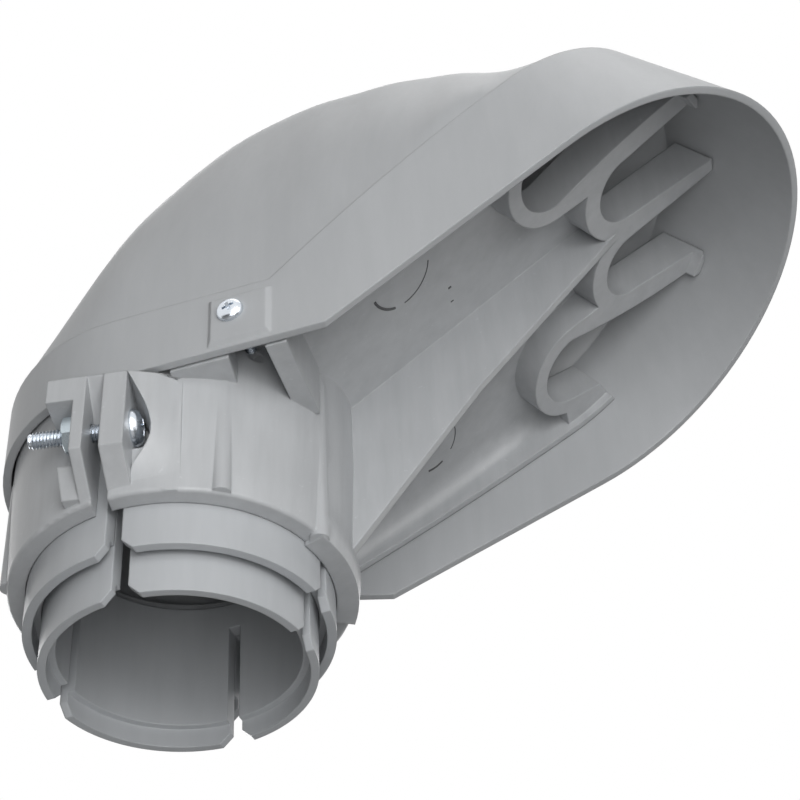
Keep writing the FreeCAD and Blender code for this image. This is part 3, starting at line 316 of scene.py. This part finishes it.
# %% [markdown]
# ## Two solids made again
# The photograph shows two forms that the solids only come near: the dome's full shoulders beside the crease,
# and the smooth web beside the right clamp ear, with its scoop for the screw's head. Both pieces start from
# their solid's mesh, so that all else stays where the CAD put it. First come the shared mesh helpers.

# %% Mesh helpers
MERGE_DISTANCE = 1e-7
SHARP_ANGLE = 40.0
CARVED_ANGLE = 35.0


def shade_smooth(mesh, sharp_angle):
    """Smooth shading that breaks at edges over an angle in degrees."""
    for polygon in mesh.polygons:
        polygon.use_smooth = True
    mesh.set_sharp_from_angle(angle=math.radians(sharp_angle))


def new_piece(name, points, faces, material, sharp_angle=SHARP_ANGLE):
    """A mesh object with one material, whose sharp edges stay sharp."""
    mesh = bpy.data.meshes.new(name)
    mesh.from_pydata(points, [], faces)
    mesh.materials.append(material)
    tidy = bmesh.new()
    tidy.from_mesh(mesh)
    bmesh.ops.remove_doubles(tidy, verts=tidy.verts, dist=MERGE_DISTANCE)
    bmesh.ops.recalc_face_normals(tidy, faces=tidy.faces)
    tidy.to_mesh(mesh)
    tidy.free()
    shade_smooth(mesh, sharp_angle)
    piece = bpy.data.objects.new(name, mesh)
    bpy.context.scene.collection.objects.link(piece)
    return piece


def rings_to_faces(count, rows):
    """Quads between rings of `count` points."""
    faces = []
    for row in range(rows - 1):
        low = row * count
        for i in range(count):
            j = (i + 1) % count
            faces.append((low + i, low + j, low + count + j, low + count + i))
    return faces


def carve(piece, points, faces):
    """Cuts a closed mesh out of a piece, and keeps the result as the piece's own mesh."""
    cutter = new_piece(piece.name + "_cutter", points, faces, piece.data.materials[0])
    cut = piece.modifiers.new("recess", "BOOLEAN")
    cut.operation = "DIFFERENCE"
    cut.solver = "EXACT"
    cut.object = cutter
    evaluated = piece.evaluated_get(bpy.context.evaluated_depsgraph_get())
    shaped = bpy.data.meshes.new_from_object(evaluated)
    piece.modifiers.clear()
    piece.data = shaped
    shade_smooth(shaped, CARVED_ANGLE)
    bpy.data.objects.remove(cutter)


# %% [markdown]
# The dome's solid sags beside the crease. It could be sculpted by hand, but a formula gives the same result
# on every run. Long edges are split first, so that the surface can follow. Each point above the crease then
# moves away from the middle of its cross section. The amount swells and fades along X, starts at nothing on
# the crease, and fades at the ridge. A light smoothing of the points takes out the mesh's unevenness. Each
# swell below is its size, its centre along X and its width.

# %% Fill out the dome
CREASE_HEIGHT = 82.0 * MM
CREASE_RISE = 40.65 * MM
CREASE_SLOPE = math.tan(math.radians(40.36))
SWELLS = (
    (4.2 * MM, 126.0 * MM, 15.5 * MM),
    (-1.2 * MM, 88.0 * MM, 15.0 * MM),
)
CREASE_RUN = 12.0 * MM
RIDGE_RUN = 40.0 * MM
LONGEST_EDGE = 6.5 * MM
SPLIT_ROUNDS = 6
SMOOTHINGS = 5
EVENING_SHARE = 0.5
CALM_ANGLE = 0.35
CALM_RISE = 1.0 * MM
SKIN = 0.04 * MM
SOLID_ANGLE = 24.0


def eased(value):
    """Runs from 0 to 1 with a soft start and a soft end."""
    clamped = min(max(value, 0.0), 1.0)
    return clamped * clamped * (3 - 2 * clamped)


def above_crease(point):
    """How far a point lies above the crease, which runs level and then climbs to the mouth."""
    return point.z - max(CREASE_HEIGHT, CREASE_RISE + point.x * CREASE_SLOPE)


def filled_out(point):
    """A point of the dome, moved out to where the photograph has it."""
    rise = above_crease(point)
    if rise <= 0:
        return point
    swell = sum(size * math.exp(-((point.x - centre) / width) ** 2) for size, centre, width in SWELLS)
    leave = min(rise / CREASE_RUN, 1.0)
    amount = swell * leave * (2 - leave) * eased(abs(point.y) / RIDGE_RUN)
    return point + Vector((0, point.y, rise)).normalized() * amount


def remade(node_name, name, material):
    """A piece that starts as a solid's mesh and stands for that solid."""
    mesh = nodes[node_name].data
    points = [tuple(vertex.co) for vertex in mesh.vertices]
    faces = [tuple(polygon.vertices) for polygon in mesh.polygons]
    piece = new_piece(name, points, faces, material, SOLID_ANGLE)
    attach(piece, "housing")
    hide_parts(node_name)
    return piece


def on_dome(edge):
    """Whether both ends of an edge lie on the crease or above it."""
    return min(above_crease(corner.co) for corner in edge.verts) > -SKIN


def is_calm(corner):
    """Whether a point lies inside the dome's surface, away from the crease and every sharp edge."""
    if above_crease(corner.co) <= CALM_RISE:
        return False
    return all(edge.is_manifold and edge.calc_face_angle() < CALM_ANGLE for edge in corner.link_edges)


def fill_dome(piece):
    """Splits the dome's long edges, moves its points out and evens the surface."""
    work = bmesh.new()
    work.from_mesh(piece.data)
    for _ in range(SPLIT_ROUNDS):
        too_long = [edge for edge in work.edges if on_dome(edge) and edge.calc_length() > LONGEST_EDGE]
        bmesh.ops.subdivide_edges(work, edges=too_long, cuts=1)
        bmesh.ops.triangulate(work, faces=[face for face in work.faces if len(face.verts) > 3])
    for corner in work.verts:
        corner.co = filled_out(corner.co)
    calm = [corner for corner in work.verts if is_calm(corner)]
    axes = {"use_axis_x": True, "use_axis_y": True, "use_axis_z": True}
    for _ in range(SMOOTHINGS):
        bmesh.ops.smooth_vert(work, verts=calm, factor=EVENING_SHARE, **axes)
    work.to_mesh(piece.data)
    work.free()
    shade_smooth(piece.data, SOLID_ANGLE)
    return len(calm)


hood = remade("cover", "hood_moulding", HOOD_PLASTIC)
print("evened points:", fill_dome(hood))
print("hood has", len(hood.data.polygons), "faces")

# %% [markdown]
# The CAD web beside the right ear is made of flat facets, and it hides part of the screw's head. It could be
# smoothed, but its edges would stay where they are. Instead it is cut away down to the collar's round
# surface, by a Boolean modifier, and the next cell puts a smooth one in its place.

# %% Cut the faceted web away
EAR_FACE = -3.3 * MM
EAR_REACH = 78.0 * MM
WEB_RUN = 16.3 * MM
WEB_Y = 65.0 * MM
EAR_TOP = 46.5 * MM
WEB_TOP = 53.5 * MM
COLLAR_RADIUS = 64.4 * MM
COLLAR_FLARE = 2.0 * MM
SHOULDER_HEIGHT = 50.0 * MM
CUTTER_COLUMNS = 13
CUTTER_FOOT = -0.5 * MM
CUTTER_MARGIN = 5.0 * MM


def collar_y(x, z):
    """Y of the collar's outer surface on the side of the ears."""
    radius = COLLAR_RADIUS + COLLAR_FLARE * min(max(z / SHOULDER_HEIGHT, 0.0), 1.0)
    return -math.sqrt(radius * radius - x * x)


def web_cutter():
    """The space outside the collar's surface where the faceted web stands."""
    points = []
    last = CUTTER_COLUMNS - 1
    for z in (CUTTER_FOOT, 0.0, SHOULDER_HEIGHT):
        places = [EAR_FACE + (WEB_RUN + SKIN) * i / last for i in range(CUTTER_COLUMNS)]
        points += [(x, collar_y(x, z) - SKIN, z) for x in places]
        points += [(x, -EAR_REACH - CUTTER_MARGIN, z) for x in reversed(places)]
    count = 2 * CUTTER_COLUMNS
    faces = rings_to_faces(count, 3)
    faces += [tuple(range(count))[::-1], tuple(range(2 * count, 3 * count))]
    return points, faces


casting = remade("body", "body_moulding", BODY_PLASTIC)
faces_before = len(casting.data.polygons)
carve(casting, *web_cutter())
print("body had", faces_before, "faces and has", len(casting.data.polygons))

# %% [markdown]
# The new web is a closed block between two grids of points. Its outer face stands upright above and eases
# into the collar below the screw's head. Its left edge gives way round the head, by a table of heights and X
# places in millimetres. Its back leans in under that edge, and lies inside the collar's wall.

# %% Put the smooth web in
WEB_FOOT = 3.5 * MM
WEB_FULL = 35.0 * MM
WEB_BACK = 61.0 * MM
WEB_ROWS = 33
WEB_COLUMNS = 17
SEAT_DEPTH = 0.1 * MM
WEB_OVERLAP = 1.0 * MM
SCOOP_LEAN = 2.6 * MM
SCOOP_EDGE = (
    (3.5, -3.3), (9.0, -3.3), (11.5, -2.6), (14.5, 0.0), (18.0, 2.7),
    (21.5, 4.2), (25.0, 4.4), (29.0, 3.7), (33.0, 2.4), (46.5, -3.3),
)


def scoop_edge(z):
    """X of the scoop's edge at a height, between the marks that the photograph gives."""
    for (low_z, low_x), (high_z, high_x) in zip(SCOOP_EDGE, SCOOP_EDGE[1:]):
        if z <= high_z * MM:
            share = (z / MM - low_z) / (high_z - low_z)
            return (low_x + (high_x - low_x) * max(share, 0.0)) * MM
    return EAR_FACE


def web_points():
    """Two grids of points, the web's outer face and its back inside the collar's wall."""
    outer = []
    back = []
    height = EAR_TOP - WEB_FOOT
    for row in range(WEB_ROWS):
        level = WEB_FOOT + height * row / (WEB_ROWS - 1)
        start = scoop_edge(level)
        for column in range(WEB_COLUMNS):
            x = start + (EAR_FACE + WEB_RUN + WEB_OVERLAP - start) * column / (WEB_COLUMNS - 1)
            share = min((x - EAR_FACE) / WEB_RUN, 1.0)
            z = level + (WEB_TOP - EAR_TOP) * share * (level - WEB_FOOT) / height
            skin = collar_y(x, z) + SEAT_DEPTH
            front = -EAR_REACH + (EAR_REACH - WEB_Y) * share
            full = eased((z - WEB_FOOT) / (WEB_FULL - WEB_FOOT))
            outer.append((x, skin + min(front - skin, 0.0) * full, z))
            back.append((x - SCOOP_LEAN * (1 - column / (WEB_COLUMNS - 1)), -WEB_BACK, z))
    return outer, back


def web_quads(behind):
    """The faces of both grids and of the four narrow sides between them."""
    faces = []
    for row in range(WEB_ROWS - 1):
        for column in range(WEB_COLUMNS - 1):
            near = row * WEB_COLUMNS + column
            quad = (near, near + 1, near + WEB_COLUMNS + 1, near + WEB_COLUMNS)
            faces += [quad, tuple(behind + i for i in reversed(quad))]
        for near in (row * WEB_COLUMNS, (row + 1) * WEB_COLUMNS - 1):
            faces.append((near, near + WEB_COLUMNS, behind + near + WEB_COLUMNS, behind + near))
    for row in (0, WEB_ROWS - 1):
        for column in range(WEB_COLUMNS - 1):
            near = row * WEB_COLUMNS + column
            faces.append((near, near + 1, behind + near + 1, behind + near))
    return faces


outer, back = web_points()
web = new_piece("ear_web", outer + back, web_quads(len(outer)), BODY_PLASTIC)
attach(web, "housing")
print("web has", len(web.data.polygons), "faces")

# %% [markdown]
# ## Screws with real threads
# A CAD shank is a plain cylinder, and in the photograph the thread of the clamp screw catches the light on
# both sides of the nut. A thread could be a bump texture, but then its outline stays straight. Here the shank
# is a grid of rings whose radius rises and falls along a helix, so that crests show in the outline. The marks
# of a thread are the share of the pitch, and whether that place is crest or root.

# %% Turned shapes
SEGMENTS = 40
THREAD_DEPTH = 0.58
THREAD_MARKS = ((0.0, 1.0), (0.12, 1.0), (0.50, 0.0), (0.62, 0.0))
TIP_FADE = 1.2
HEAD_FADE = 0.8
HEAD_START = 0.25
SPARE_TURNS = 3


def lathe(profile):
    """Points and quads of a profile of (radius, height) turned about Z, closed at both ends."""
    points = []
    for radius, height in profile:
        for i in range(SEGMENTS):
            turn = 2 * math.pi * i / SEGMENTS
            points.append((radius * math.cos(turn), radius * math.sin(turn), height))
    faces = rings_to_faces(SEGMENTS, len(profile))
    faces.append(tuple(range(SEGMENTS))[::-1])
    last = (len(profile) - 1) * SEGMENTS
    faces.append(tuple(last + i for i in range(SEGMENTS)))
    return points, faces


def thread_points(radius, pitch, top, bottom):
    """Rings down a threaded shank. Each ring drops one pitch as it goes round."""
    depth = pitch * THREAD_DEPTH
    rows = []
    turns = int((top - bottom) / pitch) + SPARE_TURNS
    for turn in range(-1, turns):
        for part, height in THREAD_MARKS:
            ring = []
            for i in range(SEGMENTS):
                z = top - (turn + part + i / SEGMENTS) * pitch
                z = min(max(z, bottom), top)
                near_tip = (z - bottom) / (pitch * TIP_FADE)
                near_head = (top - z) / (pitch * HEAD_FADE) + HEAD_START
                fade = min(1.0, near_tip, near_head)
                here = radius - depth * (1 - height * max(fade, 0.0))
                angle = 2 * math.pi * i / SEGMENTS
                ring.append((here * math.cos(angle), here * math.sin(angle), z))
            rows.append(ring)
    return rows


# %% [markdown]
# The thread's rings are open spirals: each drops by one pitch as it goes round, and a pitch holds as many
# rings as a thread has marks. So the quads that close a turn step down by that many rings.

# %% The threaded shank and the head's tools
PAN_PROFILE = (
    (0.02, 1.0), (0.30, 0.985), (0.55, 0.93), (0.76, 0.79), (0.90, 0.58),
    (0.975, 0.34), (1.0, 0.14), (0.985, 0.0), (0.2, 0.0),
)
CROSS_REACH = 0.52
CROSS_BLADE = 0.13
CROSS_DEPTH = 0.72
BIT_RISE = 1.0 * MM
BIT_TOP = 1.12
BIT_TIP = 0.45
BLADE_LEAST = 0.6
BLADE_GAIN = 0.4


def threaded_shank(radius, pitch, top, bottom):
    """Points and quads of a threaded shank with closed ends."""
    rows = thread_points(radius, pitch, top, bottom)
    points = [point for row in rows for point in row]
    faces = []
    steps = len(THREAD_MARKS)
    for row in range(len(rows) - 1):
        for i in range(SEGMENTS - 1):
            low = row * SEGMENTS + i
            faces.append((low, low + 1, low + SEGMENTS + 1, low + SEGMENTS))
        if row + 1 + steps < len(rows):
            low = row * SEGMENTS + SEGMENTS - 1
            onward = (row + steps) * SEGMENTS
            faces.append((low, onward, onward + SEGMENTS, low + SEGMENTS))
    last = (len(rows) - 1) * SEGMENTS
    faces += [tuple(range(SEGMENTS))[::-1], tuple(last + i for i in range(SEGMENTS))]
    return points, faces


def pan_head(radius, height):
    """The profile of a pan head from its centre out and down to its bearing face."""
    return [(radius * share, height * level) for share, level in PAN_PROFILE]


def cross_cutter(reach, blade, height, depth):
    """The tapered cross of a driver bit, as a closed mesh."""
    points = []
    for level, share in ((height + BIT_RISE, BIT_TOP), (height - depth, BIT_TIP)):
        wide = reach * share
        narrow = blade * (BLADE_LEAST + BLADE_GAIN * share)
        outline = [
            (wide, -narrow), (wide, narrow), (narrow, narrow), (narrow, wide),
            (-narrow, wide), (-narrow, narrow), (-wide, narrow), (-wide, -narrow),
            (-narrow, -narrow), (-narrow, -wide), (narrow, -wide), (narrow, -narrow),
        ]
        points += [(x, y, level) for x, y in outline]
    count = len(points) // 2
    faces = rings_to_faces(count, 2)
    faces += [tuple(range(count))[::-1], tuple(range(count, 2 * count))]
    return points, faces


def make_screw(name, place, radius, pitch, length, head_radius, head_height, material):
    """A pan head screw along its own Z, head up, put in place."""
    points, faces = lathe(pan_head(head_radius, head_height))
    head = new_piece(name, points, faces, material)
    reach = head_radius * CROSS_REACH
    blade = head_radius * CROSS_BLADE
    points, faces = cross_cutter(reach, blade, head_height, head_height * CROSS_DEPTH)
    carve(head, points, faces)
    points, faces = threaded_shank(radius, pitch, 0.0, -length)
    shank = new_piece(name + "_thread", points, faces, material)
    for piece in (head, shank):
        piece.data.transform(place)
    return head, shank


# %% [markdown]
# The clamp screw runs along X through both ears, so its box gives its axis, its head and its tip. The cover
# screws lean with the hood's sides, by the flare that the CAD gives them. Each of these has its side, the
# sign of its Y and the turn of its cross in degrees.

# %% Put the clamp screw in
PARALLEL = 1e-6
CLAMP_HEAD_HEIGHT = 3.9 * MM
CLAMP_RADIUS = 3.175 * MM
CLAMP_PITCH = 1.27 * MM
CLAMP_TURN = math.radians(28)


def facing(direction, origin):
    """A matrix whose Z looks along a direction."""
    z_axis = Vector(direction).normalized()
    x_axis = Vector((0, 0, 1)).cross(z_axis)
    if x_axis.length < PARALLEL:
        x_axis = Vector((1, 0, 0))
    x_axis.normalize()
    return placed(x_axis, z_axis.cross(x_axis), z_axis, Vector(origin))


low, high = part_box("clamp_screw")
clamp_head_radius = (high[1] - low[1]) / 2
clamp_seat = (high[0] - CLAMP_HEAD_HEIGHT, (low[1] + high[1]) / 2, (low[2] + high[2]) / 2)
clamp_length = clamp_seat[0] - low[0]
clamp_place = facing((1, 0, 0), clamp_seat) @ Matrix.Rotation(CLAMP_TURN, 4, "Z")
clamp_parts = make_screw(
    "clamp_bolt", clamp_place, CLAMP_RADIUS, CLAMP_PITCH, clamp_length,
    clamp_head_radius, CLAMP_HEAD_HEIGHT, SCREW_ZINC)
for piece in clamp_parts:
    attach(piece, "clamp_screw")
    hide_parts("clamp_screw")
print("clamp screw is %.1f mm under its head" % (clamp_length / MM))

# %% Put the two cover screws in
COVER_SEAT_X = 34.5 * MM
COVER_SEAT_Z = 68.4 * MM
HOOD_RADIUS = 70.5 * MM
SIDE_FLARE = math.radians(9.6)
PAD_RAISE = 1.82 * MM
COVER_SCREWS = (("right", -1, 20), ("left", 1, -35))
COVER_SIZES = {
    "radius": 2.415 * MM,
    "pitch": 1.06 * MM,
    "length": 22.2 * MM,
    "head_radius": 5.2 * MM,
    "head_height": 3.0 * MM,
}
for side, sign, turn in COVER_SCREWS:
    outward = Vector((-math.sin(SIDE_FLARE), sign * math.cos(SIDE_FLARE), 0))
    half = COVER_SEAT_X * math.tan(SIDE_FLARE) + HOOD_RADIUS / math.cos(SIDE_FLARE)
    seat = Vector((COVER_SEAT_X, sign * half, COVER_SEAT_Z)) + outward * PAD_RAISE
    place = facing(outward, seat) @ Matrix.Rotation(math.radians(turn), 4, "Z")
    parts = make_screw("cover_bolt_" + side, place, material=SCREW_ZINC, **COVER_SIZES)
    for piece in parts:
        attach(piece, "housing")
        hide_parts("cover_screw_" + side)
    print("cover screw", side, "seats at", [round(value / MM, 1) for value in seat])

# %% [markdown]
# ## The nut
# A hexagon nut is a hexagon only in the middle of its height: its corners are turned off at both ends. Rings
# of points do this directly. Where a ring's radius passes the chamfer's circle, it sits lower.

# %% Build the nut
NUT_POINTS = 72
NUT_SHARP_ANGLE = 25.0
CHAMFER_SHARE = 0.96
CHAMFER_SLOPE = math.tan(math.radians(30))
BORE_SHARE = 0.96


def nut_mesh(across_flats, bore, thickness):
    """Points and quads of a hexagon nut, as closed rings from bore to bore."""
    chamfer = across_flats / 2 * CHAMFER_SHARE
    columns = []
    for i in range(NUT_POINTS):
        turn = 2 * math.pi * i / NUT_POINTS
        from_flat = (turn + math.pi / 6) % (math.pi / 3) - math.pi / 6
        flat = across_flats / 2 / math.cos(from_flat)
        drop = (flat - chamfer) * CHAMFER_SLOPE
        rings = (
            (bore, 0.0), (chamfer, 0.0), (flat, drop),
            (flat, thickness - drop), (chamfer, thickness), (bore, thickness),
        )
        aim = (math.cos(turn), math.sin(turn))
        columns.append([(radius * aim[0], radius * aim[1], height) for radius, height in rings])
    rows = list(zip(*columns))
    rows.append(rows[0])
    points = [point for row in rows for point in row]
    return points, rings_to_faces(NUT_POINTS, len(rows))


low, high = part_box("clamp_nut")
nut_thickness = high[0] - low[0]
nut_points, nut_faces = nut_mesh(high[2] - low[2], CLAMP_RADIUS * BORE_SHARE, nut_thickness)
nut = new_piece("clamp_hex_nut", nut_points, nut_faces, NUT_ZINC, NUT_SHARP_ANGLE)
nut_seat = (high[0], (low[1] + high[1]) / 2, (low[2] + high[2]) / 2)
nut.data.transform(facing((-1, 0, 0), nut_seat))
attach(nut, "housing")
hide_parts("clamp_nut")
print("nut is %.1f mm thick" % (nut_thickness / MM))

# %% [markdown]
# ## Marks of the mould
# Under the separator plate, pins pushed the moulding out of its tool, and each left part of a round line and
# a few dots. Thin tubes that lie half in the surface catch the light like the real raised lines. Their dark
# grey is painted shade along the lines, not a colour of the plastic. An arc is the place of its centre on the
# plate, its radius, the angles where it starts and ends, and its thickness.

# %% Ejector marks under the plate
PLATE_RISE = 27.2 * MM
PLATE_ANGLE = math.radians(40.6)
TUBE_STEPS = 3


def on_plate(run, across):
    """A point on the plate's lower face, from its own coordinates."""
    along = Vector((math.cos(PLATE_ANGLE), 0, math.sin(PLATE_ANGLE)))
    return Vector((0, 0, PLATE_RISE)) + along * run + Vector((0, across, 0))


def raised_line(name, route, thickness, material, body):
    """A fine smooth ridge along a route of points."""
    curve = bpy.data.curves.new(name, "CURVE")
    curve.dimensions = "3D"
    curve.bevel_depth = thickness / 2
    curve.bevel_resolution = TUBE_STEPS
    curve.use_fill_caps = True
    spline = curve.splines.new("POLY")
    spline.points.add(len(route) - 1)
    for spline_point, place in zip(spline.points, route):
        spline_point.co = (*place, 1.0)
    curve.materials.append(material)
    piece = bpy.data.objects.new(name, curve)
    bpy.context.scene.collection.objects.link(piece)
    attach(piece, body)


# The marks' dark grey, far below the plate's grey, is painted shade along the raised lines.
MARK_PAINTED_SHADE = moulded_plastic(
    "mould_mark_painted_shade", shade=84, warmth=-1.0, cloud=1.0, speck=0.0, roughness=0.6, edge=0.0002)
EJECTOR_MARKS = (
    ("right_thick", 123.9, -48.3, 14.9, 165, 112, 1.15),
    ("right_thin", 123.9, -48.3, 14.9, 92, 12, 0.55),
    ("left_thick", 123.0, 52.8, 13.1, 112, 76, 0.9),
    ("left_thin", 123.0, 52.8, 13.1, 48, -8, 0.5),
)
MARK_STEPS = 16
MOULD_DOTS = ((146.6, -23.8, 0.9), (146.6, -16.1, 0.6))
DOT_REACH = 0.7
for label, run, across, radius, start, end, thickness in EJECTOR_MARKS:
    route = []
    for i in range(MARK_STEPS + 1):
        turn = math.radians(start + (end - start) * i / MARK_STEPS)
        place = (run + radius * math.cos(turn), across + radius * math.sin(turn))
        route.append(on_plate(place[0] * MM, place[1] * MM))
    raised_line("ejector_mark_" + label, route, thickness * MM, MARK_PAINTED_SHADE, "housing")
for index, (run, across, thickness) in enumerate(MOULD_DOTS):
    dot = [on_plate((run + step) * MM, across * MM) for step in (-DOT_REACH, DOT_REACH)]
    raised_line("mould_dot_%d" % index, dot, thickness * MM, MARK_PAINTED_SHADE, "housing")
print("mould marks:", len(EJECTOR_MARKS) + len(MOULD_DOTS))

# %% [markdown]
# ## Floor, light and background
# The photograph is a cut-out on white. A pale floor far below keeps clear of the camera, which looks up.

# %% The floor
FLOOR_HEIGHT = -1.15
FLOOR_SIZE = 8.0
FLOOR_CELLS = 4
FLOOR_CLOUD = 3.0
FLOOR_GREYS = (236, 242)
FLOOR_ROUGHNESS = 0.8
bpy.ops.mesh.primitive_grid_add(
    x_subdivisions=FLOOR_CELLS, y_subdivisions=FLOOR_CELLS, size=FLOOR_SIZE, location=(0, 0, FLOOR_HEIGHT))
floor = bpy.context.object
floor.name = "studio_floor"
floor_finish = Finish("studio_floor_paint")
floor_colour = floor_finish.mix(floor_finish.noise(FLOOR_CLOUD), *[grey(level) for level in FLOOR_GREYS])
floor.data.materials.append(floor_finish.finish(Base_Color=floor_colour, Roughness=FLOOR_ROUGHNESS))
print("floor lies at", FLOOR_HEIGHT, "m")

# %% [markdown]
# The world is white to the camera and to reflections. To the surfaces that it lights it is nearly dark, so
# that the lamps alone shape the fitting. The Light Path node tells the two apart.

# %% The world
WORLD_LIGHT = 0.03
world = bpy.data.worlds.new("studio")
world.use_nodes = True
bpy.context.scene.world = world
tree = world.node_tree
paths = tree.nodes.new("ShaderNodeLightPath")
seen = paths.outputs["Is Camera Ray"]
for ray in ("Is Glossy Ray", "Is Transmission Ray"):
    either = tree.nodes.new("ShaderNodeMath")
    either.operation = "MAXIMUM"
    tree.links.new(seen, either.inputs[0])
    tree.links.new(paths.outputs[ray], either.inputs[1])
    seen = either.outputs[0]
strength = tree.nodes.new("ShaderNodeMapRange")
strength.inputs["To Min"].default_value = WORLD_LIGHT
strength.inputs["To Max"].default_value = 1.0
tree.links.new(seen, strength.inputs["Value"])
background = tree.nodes["Background"]
background.inputs["Color"].default_value = (1, 1, 1, 1)
tree.links.new(strength.outputs[0], background.inputs["Strength"])
print("world lights with", WORLD_LIGHT)

# %% [markdown]
# Four large lamps stand where the photograph's light comes from: mostly in front and below, some from the
# right, little from above. A sun would give hard edges to the shadows, and the photograph has soft ones. Two
# more lamps behind the hood stay out of the photograph's view, and show the back in the other views.

# %% The lamps


def soft_lamp(name, place, target, size, power):
    """A square lamp that looks at a target."""
    lamp = bpy.data.lights.new(name, "AREA")
    lamp.shape = "SQUARE"
    lamp.size = size
    lamp.energy = power
    holder = bpy.data.objects.new(name, lamp)
    bpy.context.scene.collection.objects.link(holder)
    holder.location = place
    aim = Vector(target) - Vector(place)
    holder.rotation_euler = aim.to_track_quat("-Z", "Y").to_euler()


MIDDLE = (0.08, 0.0, 0.11)
LAMP_DISTANCE = 1.3
LAMP_SIZE = 0.85
LAMPS = (
    ("front", (0.25, -1.00, 0.00), 4.9),
    ("low_front", (0.22, -0.85, -0.50), 8.2),
    ("right_front", (0.75, -0.75, -0.10), 4.4),
    ("overhead", (0.10, -0.10, 1.00), 2.0),
    ("behind", (-0.70, 0.80, 0.20), 7.0),
    ("behind_above", (-0.10, 0.70, 0.75), 5.0),
)
for name, direction, power in LAMPS:
    place = Vector(MIDDLE) + Vector(direction).normalized() * LAMP_DISTANCE
    soft_lamp(name, place, MIDDLE, LAMP_SIZE, power)
